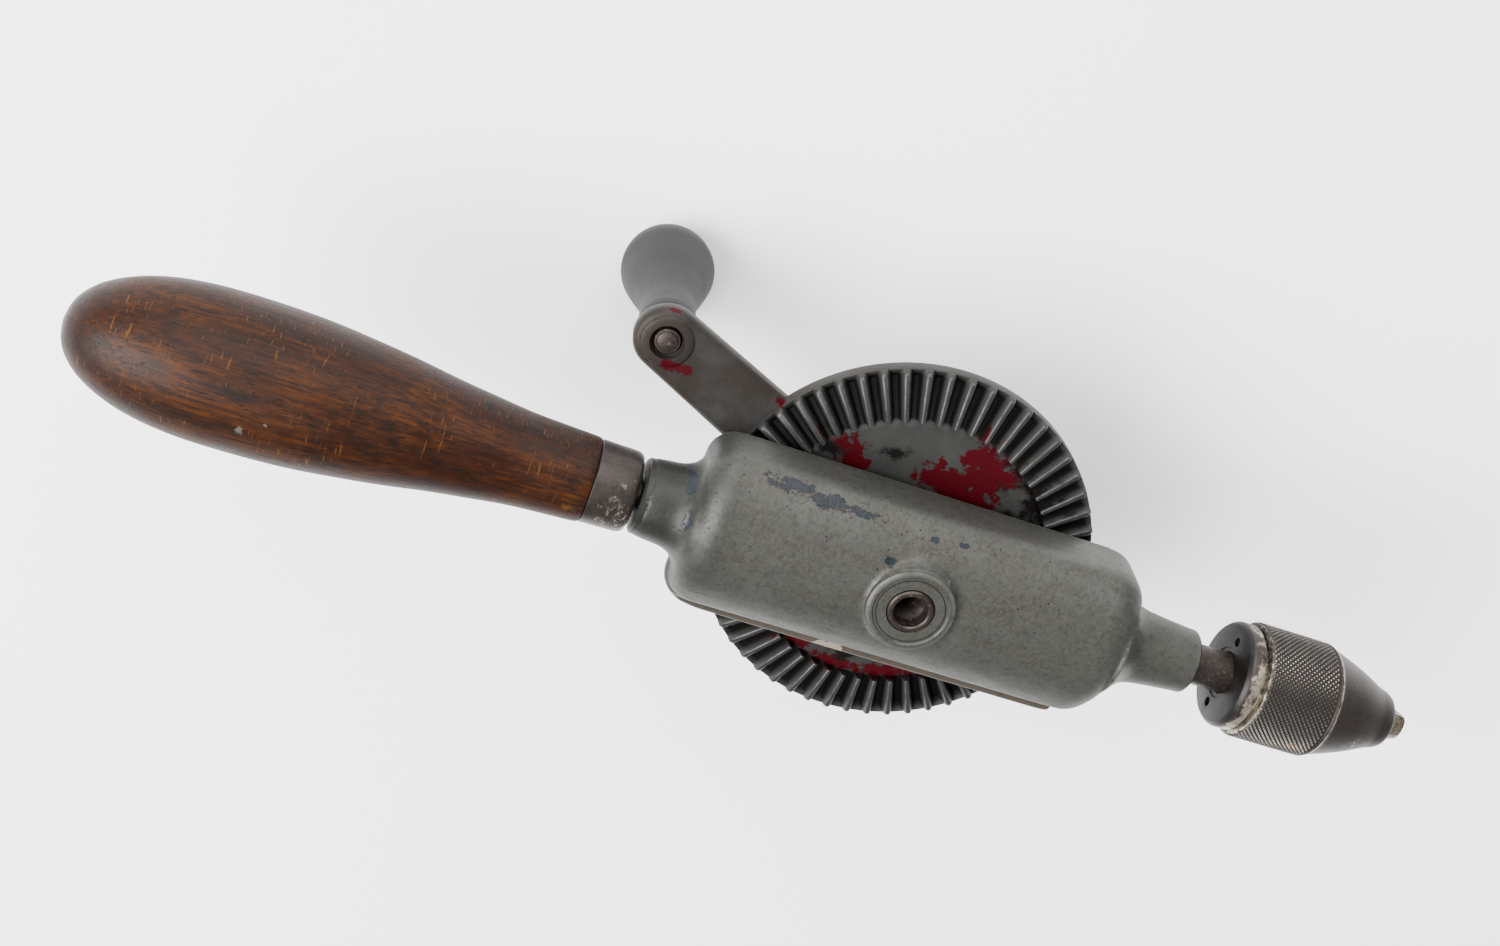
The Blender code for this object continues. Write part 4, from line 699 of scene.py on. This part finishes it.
# Copies of one solid spaced evenly round the Z axis, for gear teeth and for spanner holes.
around, given = nodes_for("copies round an axis", Solid="Object", Count="Int", First_Angle="Float",
                          Metal="Material")
points = add(around, "GeometryNodePoints", {"Count": given["Count"], "Position": (0.0, 0.0, 0.0)})
step_turn = add(around, "ShaderNodeMath", {0: 2.0 * math.pi, 1: given["Count"]}, operation='DIVIDE')
index = add(around, "GeometryNodeInputIndex")
turn = add(around, "ShaderNodeMath", {0: index, 1: step_turn, 2: given["First Angle"]},
           operation='MULTIPLY_ADD')
spin = add(around, "ShaderNodeCombineXYZ", {2: turn})
placed(around, given, "Solid", points, spin)

# Cast teeth polished by running on their tips and flanks, black grease in the gaps; red enamel in
# islands on the web, brown-black grease where it is sheltered, with the housing's cast shadow painted in
# there.
gear_alloy, tree, shader, place = finish("cast zinc alloy, greasy, red enamel remnants",
                                         Specular_IOR_Level=0.1)
split_place = add(tree, "ShaderNodeSeparateXYZ", {0: place}, out=None)
flat = add(tree, "ShaderNodeVectorMath", {0: place, 1: (1.0, 1.0, 0.0)}, operation='MULTIPLY')
radius = add(tree, "ShaderNodeVectorMath", {0: flat}, operation='LENGTH', out="Value")
slope = add(tree, "ShaderNodeMath", {0: split_place.outputs[2], 1: radius}, operation='DIVIDE')
in_gap = add(tree, "ShaderNodeMapRange",
             {"Value": slope, "From Min": -tip_slope - 0.018, "From Max": -tip_slope - 0.05})
on_tip = add(tree, "ShaderNodeMapRange",
             {"Value": slope, "From Min": -tip_slope - 0.012, "From Max": -tip_slope + 0.002})
tip_edge = add(tree, "ShaderNodeMath", {0: slope, 1: -tip_slope - 0.0035, 2: 0.003}, operation='COMPARE')
toothed = together('MULTIPLY',
                   add(tree, "ShaderNodeMapRange", {"Value": radius, "From Min": 35.0, "From Max": 35.8}),
                   add(tree, "ShaderNodeMapRange", {"Value": radius, "From Min": 47.9, "From Max": 47.6}))
rim_clear = add(tree, "ShaderNodeMapRange", {"Value": radius, "From Min": 46.9, "From Max": 45.9})
outside = add(tree, "ShaderNodeMapRange", {"Value": radius, "From Min": 47.2, "From Max": 47.6})
upper = add(tree, "ShaderNodeMapRange",
            {"Value": split_place.outputs[2], "From Min": -14.9, "From Max": -14.6})
clouds = cloud(place, 9.0, 0.38, 0.64, 41.0, 6.0, 0.65)
fine = cloud(place, 0.7, 0.35, 0.68, 42.0, 4.0, 0.62)
torn = cloud(place, 3.6, 0.3, 0.72, 43.0, 8.0, 0.76)
wear = cloud(place, 2.2, 0.36, 0.62, 44.0, 5.0, 0.65)
grease_and_shadow_torn = cloud(place, 4.0, 0.3, 0.7, 45.0, 7.0, 0.7)
pitted = pits(place, 1.7, 0.45, cloud(place, 7.0, 0.45, 0.62, 46.0))
gaps = together('MULTIPLY', in_gap, toothed, upper, rim_clear)
lands = together('MULTIPLY', on_tip, toothed)
edge_line = together('MULTIPLY', tip_edge, toothed, wear)
red_islands = [((2.5, 22.0, -10.4), (12.3, 8.5, 3.9)), ((12.0, 27.0, -10.4), (15.6, 12.3, 3.9)),
               ((9.0, 19.5, -10.4), (15.6, 7.2, 3.9)), ((7.5, 36.0, -10.0), (6.0, 4.7, 3.9)),
               ((-22.0, 22.5, -10.4), (9.8, 6.5, 3.9)), ((-18.5, 19.0, -10.4), (6.0, 6.0, 3.9)),
               ((-28.0, 24.5, -10.8), (6.5, 3.9, 3.9)), ((-16.0, -30.5, -10.6), (11.7, 4.7, 3.9)),
               ((-4.0, -33.6, -10.0), (13.0, 3.9, 3.9)), ((9.0, -33.0, -10.4), (11.7, 4.7, 3.9)),
               ((18.0, -30.0, -10.4), (11.7, 5.2, 3.9)), ((-40.2, 26.6, -14.2), (2.8, 2.6, 2.9)),
               ((-63.0, 27.0, -14.4), (2.4, 2.2, 2.1)), ((-66.5, 26.6, -14.4), (5.7, 3.1, 2.1)),
               ((-70.0, 40.0, -15.5), (3.9, 2.1, 2.1))]
red = together('MAXIMUM', *[spot(place, centre, reach, torn, 0.06) for centre, reach in red_islands])
# Grease patches on the web; the three beside the housing's side also carry its cast shadow as painted shadow.
grease_and_shadow_patches = [((27.0, 23.0, -10.4), (20.0, 18.0, 9.0)), ((31.0, 15.0, -10.4), (17.0, 15.0, 9.0)),
                  ((20.0, 30.0, -10.4), (9.0, 6.0, 6.0)),
                  ((-1.5, -30.0, -10.4), (8.0, 6.0, 5.0)), ((-10.5, 24.8, -10.4), (7.5, 4.6, 5.0)),
                  ((12.0, -26.0, -10.4), (8.0, 4.0, 5.0)), ((-26.0, 21.0, -10.4), (9.0, 4.0, 5.0))]
grease_and_shadow = together('MAXIMUM',
                  *[spot(place, centre, reach, grease_and_shadow_torn, 0.35) for centre, reach in grease_and_shadow_patches])
on_arm = together('MULTIPLY', outside, cloud(place, 12.0, 0.3, 0.55, 47.0))
coats(shader, "Base Color", "#262625", (clouds, "#2e2e2d"), (fine, "#2b2b2a"), (on_arm, "#211d1a"),
      (pitted, "#12100d"), (red, "#2a0105"), (grease_and_shadow, "#060403"), (lands, "#282827"), (gaps, "#070605"),
      (edge_line, "#3e3d3c"))
coats(shader, "Metallic", 0.4, (on_arm, 0.3), (red, 0.0), (grease_and_shadow, 0.1), (gaps, 0.0))
coats(shader, "Roughness", 0.45, (clouds, 0.5), (red, 0.38), (grease_and_shadow, 0.55), (lands, 0.38), (gaps, 0.6))
relief(shader, (fine, 0.02), (clouds, 0.04), (pitted, -0.1), (red, 0.06), (grease_and_shadow, 0.05))

teeth = grown("teeth", around, Solid=tooth, Count=GEAR_TEETH, First_Angle=0.0, Metal=gear_alloy)
teeth.data.transform(INTO_ROW)
bpy.data.objects.remove(tooth)

ARM_TOP, ARM_END, ARM_ROOT = -14.8, 8.0, 9.6
PIN_ANGLE, CRANK_RADIUS = 155.3, 76.5
PIN = (CRANK_RADIUS * math.cos(math.radians(PIN_ANGLE)), CRANK_RADIUS * math.sin(math.radians(PIN_ANGLE)))
plan = list(arc((0.0, 0.0), ARM_ROOT, PIN_ANGLE + 90.0, PIN_ANGLE + 270.0, 24)) + list(
    arc(PIN, ARM_END, PIN_ANGLE - 90.0, PIN_ANGLE + 90.0, 28))


def plate(name, outline, low, high, edge, sharp=35.0):
    """Flat plate with chamfered, slightly rounded edges; outline runs anticlockwise."""
    loops = []
    count = len(outline)
    steps = [(low, edge), (low + 0.35 * edge, 0.35 * edge), (low + edge, 0.0), (high - edge, 0.0),
             (high - 0.35 * edge, 0.35 * edge), (high, edge)]
    for z, inset in steps:
        loop = []
        for i, point in enumerate(outline):
            before, after = Vector(outline[i - 1]), Vector(outline[(i + 1) % count])
            run = (after - before).normalized()
            loop.append((point[0] - run.y * inset, point[1] + run.x * inset, z))
        loops.append(loop)
    return skin(name, loops, sharp)


arm = plate("arm", plan, HUB_LOW, ARM_TOP, 1.5)
arm_bore = turned("arm_bore", [(HUB_TOP + 3.0, 0.0), (HUB_TOP + 3.0, HUB_BORE), (HUB_LOW - 3.0, HUB_BORE),
                               (HUB_LOW - 3.0, 0.0)], 224, "Z")
pin_boss = turned("pin_boss", [(ARM_TOP + 0.45, 0.0), (ARM_TOP + 0.45, 5.7), (ARM_TOP + 0.3, 6.05),
                               (ARM_TOP - 0.2, 6.5), (ARM_TOP - 2.0, 6.5), (ARM_TOP - 2.0,
                                                                            0.0)], 72, "Z", PIN)
pin_hole = turned("pin_hole", [(ARM_TOP + 3.0, 0.0), (ARM_TOP + 3.0, 4.35), (ARM_TOP + 0.3, 4.1),
                               (ARM_TOP - 1.3, 4.05),
                               (ARM_TOP - 1.3, 3.5), (HUB_LOW - 3.0, 3.5), (HUB_LOW - 3.0,
                                                                            0.0)], 72, "Z", PIN)
worked(gear, ('UNION', teeth), ('UNION', arm), ('DIFFERENCE', arm_bore), ('UNION', pin_boss),
       ('DIFFERENCE', pin_hole))
dress(gear, gear_alloy, "crank", "crank_gear")

# Oiled bronze for the three plain bearings.
bronze, tree, shader, place = finish("oiled bearing bronze", Metallic=1.0, Specular_IOR_Level=0.5)
tarnish = cloud(place, 2.5, 0.38, 0.65, 51.0, 6.0, 0.65)
coats(shader, "Base Color", "#8a6236", (tarnish, "#5c3f22"))
coats(shader, "Roughness", 0.35, (tarnish, 0.5))
low, high = span("gear_bush", 2)
dress(washer("crank_bearing", low, high, 5.7, 7.3), bronze, "crank", "gear_bush")


# ==== Knob and its pin =============================================================================
# A pear-shaped cast knob that turns on a shouldered pin. The pin is riveted in the arm's recess and
# its head sits inside the knob's end; a thin washer runs between arm and knob.

knob_low, knob_high = span("crank_knob", 2)
BALL, NECK = 11.8, 6.8
ball_centre = knob_low + BALL - 0.4
knob_profile = [(knob_high, 3.5), (knob_high, 6.2), (knob_high - 0.25, 6.55), (knob_high - 0.9, NECK),
                (knob_high - 2.3, NECK + 0.1), (knob_high - 2.5, NECK - 0.05), (knob_high - 2.8, NECK + 0.05)]
swell = [(knob_high - 8.0, NECK - 0.05), (knob_high - 13.5, NECK), (knob_high - 19.0, 7.5),
         (knob_high - 24.0, 8.5),
         (knob_high - 29.0, 9.75), (ball_centre + 2.35, 11.56)]
knob_profile += curve_through([(knob_high - 2.9, NECK + 0.05)] + swell, 5)[1:]
knob_profile += [(ball_centre + BALL * math.sin(math.radians(a)), BALL * math.cos(math.radians(a)))
                 for a in range(9, -62, -3)]
knob_profile += [(knob_low, 5.4), (knob_low, 5.0), (knob_low + 3.4, 5.0), (knob_low + 3.4, 3.5)]
knob = turned("knob", knob_profile, 112, "Z", PIN)

# The same alloy, kept smooth and clean by the hand, with a few casting pores.
smooth_alloy, tree, shader, place = finish("hand-polished cast alloy", Metallic=0.25, Specular_IOR_Level=0.12)
clouds = cloud(place, 8.0, 0.38, 0.66, 61.0, 6.0, 0.62)
fine = cloud(place, 0.6, 0.35, 0.68, 62.0, 4.0, 0.6)
pitted = pits(place, 2.4, 0.6, cloud(place, 5.0, 0.5, 0.62, 63.0))
grime = spot(place, (PIN[0], PIN[1], knob_high), (13.0, 13.0, 6.0), clouds, 0.9)
coats(shader, "Base Color", "#20201f", (clouds, "#252525"), (fine, "#212221"), (grime, "#141210"),
      (pitted, "#0d0b0a"))
coats(shader, "Roughness", 0.52, (clouds, 0.58), (pitted, 0.8))
relief(shader, (fine, 0.012), (clouds, 0.03), (pitted, -0.12))
dress(knob, smooth_alloy, "knob", "crank_knob")

pin_low, pin_high = span("knob_pin", 2)
pin = turned("riveted_pin", [(pin_high - 0.05, 0.0), (pin_high - 0.1, 1.2), (pin_high - 0.35, 2.3),
                             (pin_high - 0.6, 2.5),
                             (pin_high - 0.65, 3.0), (pin_high - 1.1, 3.2), (pin_low + 2.4,
                                                                             3.2), (pin_low + 2.4, 4.7),
                             (pin_low + 0.7, 4.6), (pin_low + 0.1, 3.4), (pin_low, 0.0)], 56, "Z", PIN)
dress(pin, rusty, "crank", "knob_pin")
low, high = span("knob_washer", 2)
dress(washer("knob_shim", low, high, 3.5, 6.8, PIN), rusty, "crank", "knob_washer")


# ==== Spindle, pinions and bearings ================================================================
# The steel spindle runs in two bronze bushes and thrusts on one ball. A pinned steel pinion takes
# the drive; a second pinion on its own pin steadies the far side of the gear.

SPINDLE_REAR, SPINDLE_FRONT, SPINDLE_RADIUS = 14.8, 91.2, 5.1
spindle = turned("drive_shaft", [
    (SPINDLE_FRONT, 0.0), (SPINDLE_FRONT, SPINDLE_RADIUS - 0.6), (SPINDLE_FRONT - 0.6, SPINDLE_RADIUS),
    (SPINDLE_REAR + 0.6, SPINDLE_RADIUS), (SPINDLE_REAR, SPINDLE_RADIUS - 0.6), (SPINDLE_REAR, 0.0)], 72)
CROSS_PIN_AT, CROSS_BORE = 30.725, 1.8
cross_hole = turned("cross_hole", [(12.0, 0.0), (12.0, CROSS_BORE), (-12.0, CROSS_BORE), (-12.0, 0.0)], 32,
                    "Z", (CROSS_PIN_AT, 0.0))
worked(spindle, ('DIFFERENCE', cross_hole))
dress(spindle, rusty, "spindle_line", "spindle")

low, high = span("thrust_washer", 0)
dress(washer("end_washer", low, high, 5.4, 9.0, along="X"), rusty, "spindle_line", "thrust_washer")
for name, node in (("rear_bearing", "rear_bush"), ("nose_bearing", "nose_bush")):
    low, high = span(node, 0)
    dress(washer(name, low, high, 5.4, 7.0, along="X"), bronze, "frame", node)

def coat_cad(node, made):
    """Show a CAD solid as it is, in a finished material."""
    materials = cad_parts[node].data.materials
    materials.clear()
    materials.append(made)


# The pinions, their pins and the ball are seen only from below, so the CAD solids serve as they are.
for node in ("drive_pinion", "idler_pinion", "pinion_pin", "idler_pin", "thrust_ball"):
    coat_cad(node, rusty)


# ==== Chuck ========================================================================================
# A keyless three-jaw chuck in browned steel. The back plate and barrel are one piece on the spindle;
# the knurled shell screws along it and its cone closes the jaws, which ride in a slotted guide.

DISC_REAR, DISC_FRONT, DISC_RADIUS = BACK_PLATE, 89.3, 13.3
BARREL_FRONT, BARREL_RADIUS, JAW_BORE = 102.6, 12.1, 3.1
GROOVE_REAR, GROOVE_FRONT, GROOVE_FLOOR = 92.8, 94.6, 11.0
chuck_back = turned("chuck_back", [
    (BARREL_FRONT, JAW_BORE), (BARREL_FRONT, BARREL_RADIUS - 0.8), (BARREL_FRONT - 0.8, BARREL_RADIUS),
    (GROOVE_FRONT, BARREL_RADIUS), (GROOVE_FRONT, GROOVE_FLOOR), (GROOVE_REAR, GROOVE_FLOOR),
    (GROOVE_REAR, BARREL_RADIUS), (DISC_FRONT, BARREL_RADIUS), (DISC_FRONT,
                                                                12.9), (DISC_FRONT - 0.3,
                                                                        DISC_RADIUS), (DISC_REAR + 1.5,
                                                                                       DISC_RADIUS),
    (DISC_REAR + 0.9, 13.1), (DISC_REAR + 0.15, 12.45), (DISC_REAR, 12.2), (DISC_REAR,
                                                                            6.6), (DISC_REAR + 0.35, 6.4),
    (DISC_REAR + 0.35, 5.4), (91.5, 5.4), (91.5, JAW_BORE)], 160)
SPANNER_ANGLE, SPANNER_REACH, SPANNER_RADIUS = 175.7, 8.6, 1.2
drill_hole = turned("drill_hole",
                    [(1.7, 0.0), (1.7, SPANNER_RADIUS), (-0.75, SPANNER_RADIUS), (-0.75, 0.0)], 28, "Z",
                    (SPANNER_REACH, 0.0))
drill_hole.data.transform(INTO_ROW.inverted())
holes = grown("spanner_holes", around, Solid=drill_hole, Count=2, First_Angle=0.0, Metal=patina)
bpy.data.objects.remove(drill_hole)
lay_down = Matrix.Translation((DISC_REAR, 0.0, 0.0)) @ Matrix.Rotation(math.radians(SPANNER_ANGLE), 4,
                                                                       'X') @ Matrix(
    ((0.0, 0.0, 1.0, 0.0), (1.0, 0.0, 0.0, 0.0), (0.0, 1.0, 0.0, 0.0), (0.0, 0.0, 0.0, 1.0)))
holes.data.transform(INTO_ROW @ lay_down)
worked(chuck_back, ('DIFFERENCE', holes))
dress(chuck_back, patina, "spindle_line", "chuck_body")

ring = turned("snap_ring", [(GROOVE_FRONT - 0.3, 11.3), (GROOVE_FRONT - 0.3, 12.8), (GROOVE_REAR + 0.3, 12.8),
                            (GROOVE_REAR + 0.3, 11.3)], 96)
worked(ring, ('DIFFERENCE', slab("ring_gap", (90.0, -0.8, 5.0), (98.0, 0.8, 16.0))))
dress(ring, rusty, "spindle_line", "hood_ring")

HOOD_REAR, KNURL_REAR, KNURL_FRONT, HOOD_NOSE = 90.2, 90.7, 108.9, 129.2
KNURL_ROOT, KNURL_DEPTH = 14.05, 0.42
CONE_INNER = 12.4
hood = turned("shell", [
    (HOOD_NOSE, 4.95), (HOOD_NOSE, 5.4)] + curve_through([
        (HOOD_NOSE, 6.0), (HOOD_NOSE - 0.35, 6.75), (HOOD_NOSE - 1.6, 7.4), (HOOD_NOSE - 4.0,
                                                                             8.2)], 4) + curve_through([
            (HOOD_NOSE - 4.0, 8.2), (119.5, 10.75), (113.0, 13.0), (110.4, 13.85), (109.7, 14.2), (109.3,
                                                                                                   14.4),
            (109.0, 14.4), (KNURL_FRONT, 14.25), (KNURL_FRONT - 0.15, KNURL_ROOT)], 3)[1:] + [
    (HOOD_REAR + 0.4, KNURL_ROOT), (HOOD_REAR + 0.1, 13.9),
    (HOOD_REAR, 13.7), (HOOD_REAR, CONE_INNER), (GROOVE_REAR, CONE_INNER), (GROOVE_REAR, 13.2), (GROOVE_FRONT,
                                                                                                 13.2),
    (GROOVE_FRONT, CONE_INNER), (108.5, CONE_INNER)], 192)

# One point of the knurl: a blunt four-sided pyramid sunk a little in the shell.
KNURL_AROUND, KNURL_PITCH = 68, 1.3
half_x, half_y = KNURL_PITCH * 0.5, math.pi * KNURL_ROOT / KNURL_AROUND
shape = bmesh.new()
base = [shape.verts.new(corner) for corner in ((half_x, 0.0, -0.05), (0.0, half_y, -0.05),
                                               (-half_x, 0.0, -0.05),
                                               (0.0, -half_y, -0.05))]
crest = [shape.verts.new((v.co.x * 0.22, v.co.y * 0.22, KNURL_DEPTH)) for v in base]
foot = [shape.verts.new((v.co.x, v.co.y, -0.35)) for v in base]
for i in range(4):
    j = (i + 1) % 4
    shape.faces.new((base[i], base[j], crest[j], crest[i]))
    shape.faces.new((foot[i], foot[j], base[j], base[i]))
shape.faces.new(crest)
shape.faces.new(list(reversed(foot)))
bmesh.ops.recalc_face_normals(shape, faces=shape.faces)
pyramid = shown("knurl_point", shape, 20.0)
pyramid.data.transform(INTO_ROW.inverted())

# Rows of points round a shell, each row turned by half a step from the last, as a knurling tool leaves them.
knurl, given = nodes_for("diamond knurl", Point="Object", Rows="Int", Around="Int", Row_Pitch="Float",
                         Shell_Radius="Float", Start="Float", Metal="Material")
count = add(knurl, "ShaderNodeMath", {0: given["Rows"], 1: given["Around"]}, operation='MULTIPLY')
index = add(knurl, "GeometryNodeInputIndex")
share = add(knurl, "ShaderNodeMath", {0: index, 1: given["Around"]}, operation='DIVIDE')
row = add(knurl, "ShaderNodeMath", {0: share}, operation='FLOOR')
part_turn = add(knurl, "ShaderNodeMath", {0: share}, operation='FRACT')
half_step = add(knurl, "ShaderNodeMath", {0: 0.5, 1: given["Around"]}, operation='DIVIDE')
odd = add(knurl, "ShaderNodeMath", {0: row, 1: 2.0}, operation='MODULO')
shift = add(knurl, "ShaderNodeMath", {0: odd, 1: half_step, 2: part_turn}, operation='MULTIPLY_ADD')
angle = add(knurl, "ShaderNodeMath", {0: shift, 1: 2.0 * math.pi}, operation='MULTIPLY')
along = add(knurl, "ShaderNodeMath", {0: row, 1: given["Row Pitch"], 2: given["Start"]},
            operation='MULTIPLY_ADD')
sine = add(knurl, "ShaderNodeMath", {0: angle}, operation='SINE')
cosine = add(knurl, "ShaderNodeMath", {0: angle}, operation='COSINE')
down = add(knurl, "ShaderNodeMath", {0: sine, 1: -1.0}, operation='MULTIPLY')
across = add(knurl, "ShaderNodeMath", {0: down, 1: given["Shell Radius"]}, operation='MULTIPLY')
up = add(knurl, "ShaderNodeMath", {0: cosine, 1: given["Shell Radius"]}, operation='MULTIPLY')
spot_at = add(knurl, "ShaderNodeCombineXYZ", {0: along, 1: across, 2: up})
points = add(knurl, "GeometryNodePoints", {"Count": count, "Position": spot_at})
lean = add(knurl, "ShaderNodeCombineXYZ", {0: angle})
placed(knurl, given, "Point", points, lean)

# Browned steel again, but the knurl's crests are rubbed bright and its valleys are packed with dirt.
knurled, tree, shader, place = finish("browned knurled steel", Specular_IOR_Level=0.5)
flat = add(tree, "ShaderNodeVectorMath", {0: place, 1: (0.0, 1.0, 1.0)}, operation='MULTIPLY')
radius = add(tree, "ShaderNodeVectorMath", {0: flat}, operation='LENGTH', out="Value")
crest_mask = add(tree, "ShaderNodeMapRange",
                 {"Value": radius, "From Min": KNURL_ROOT + 0.2, "From Max": KNURL_ROOT + KNURL_DEPTH})
valley = add(tree, "ShaderNodeMapRange",
             {"Value": radius, "From Min": KNURL_ROOT + 0.24, "From Max": KNURL_ROOT + 0.05})
rubbed = cloud(place, 3.0, 0.25, 0.62, 71.0, 6.0, 0.66)
rubbed = together('MULTIPLY', crest_mask, rubbed)
torn = cloud(place, 2.0, 0.28, 0.75, 72.0, 7.0, 0.7)
brassy = spot(place, (104.5, -8.0, 12.3), (4.2, 3.4, 3.4), torn, 0.5)
coats(shader, "Base Color", "#1f1917", (valley, "#030201"), (rubbed, "#625c53"),
      (together('MULTIPLY', brassy, 0.8), "#5b4d37"))
coats(shader, "Metallic", 0.75, (valley, 0.2), (rubbed, 1.0))
coats(shader, "Roughness", 0.42, (valley, 0.7), (rubbed, 0.3))

KNURL_ROWS = 27
points_of_knurl = grown("knurl", knurl, Point=pyramid, Rows=KNURL_ROWS, Around=KNURL_AROUND,
                        Row_Pitch=KNURL_PITCH / 2.0, Shell_Radius=KNURL_ROOT, Start=KNURL_REAR + 0.4,
                        Metal=knurled)
points_of_knurl.data.transform(INTO_ROW)
bpy.data.objects.remove(pyramid)
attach(points_of_knurl, "hood")
dress(hood, patina, "hood", "chuck_hood")

coat_cad("jaw_guide", rusty)

# Ground tool steel jaws, tarnished to straw colour.
jaw_steel, tree, shader, place = finish("ground tool steel, tarnished", Metallic=1.0, Specular_IOR_Level=0.5)
tarnish = cloud(place, 1.6, 0.4, 0.64, 81.0, 6.0, 0.66)
coats(shader, "Base Color", "#8c8270", (tarnish, "#554a3f"))
coats(shader, "Roughness", 0.3, (tarnish, 0.45))
for number in (1, 2, 3):
    coat_cad("jaw_%d" % number, jaw_steel)


# ==== Studio =======================================================================================
# Plain pale paper under the drill, two wide soft lamps, an even pale surround, and the camera.

shape = bmesh.new()
bmesh.ops.create_grid(shape, x_segments=1, y_segments=1, size=2600.0)
bmesh.ops.translate(shape, vec=(0.0, 0.0, -AXES.z / MM), verts=shape.verts)
floor = shown("floor", shape)
paper = bpy.data.materials.new("matte paper")
paper.use_nodes = True
paper.node_tree.nodes["Principled BSDF"].inputs["Base Color"].default_value = linear("#f0f0ef")
paper.node_tree.nodes["Principled BSDF"].inputs["Roughness"].default_value = 0.9
floor.data.materials.append(paper)

RIGHT, UP, BACK = Vector((0.938, 0.3445, 0.0392)), Vector((-0.2911, 0.8438,
                                                           -0.4508)), Vector((-0.1884, 0.4114, 0.8918))
EYE = Vector((-120.58, 182.47, 366.24))
camera = bpy.data.objects.new("camera", bpy.data.cameras.new("camera"))
camera.data.lens = 43.2
camera.data.sensor_width = 36.0
facing = Matrix((RIGHT, UP, BACK)).transposed().to_4x4()
camera.matrix_world = Matrix.Translation(AXES + EYE * MM) @ facing
bpy.context.scene.collection.objects.link(camera)
bpy.context.scene.camera = camera

lamps = [
    ("side_lamp", (-1050.0, -350.0, 1300.0), 1.3, 150.0),
    ("top_lamp", (300.0, 900.0, 1500.0), 1.6, 70.0),
]
for name, seen_at, size, power in lamps:
    lamp = bpy.data.objects.new(name, bpy.data.lights.new(name, 'AREA'))
    lamp.data.size = size
    lamp.data.energy = power
    at = AXES + (RIGHT * seen_at[0] + UP * seen_at[1] + BACK * seen_at[2]) * MM
    lamp.matrix_world = Matrix.Translation(at) @ (at - AXES).to_track_quat('Z', 'Y').to_matrix().to_4x4()
    bpy.context.scene.collection.objects.link(lamp)
world = bpy.data.worlds.new("studio")
world.use_nodes = True
world.node_tree.nodes["Background"].inputs[0].default_value = (0.95, 0.97, 1.0, 1.0)
world.node_tree.nodes["Background"].inputs[1].default_value = 0.74
bpy.context.scene.world = world
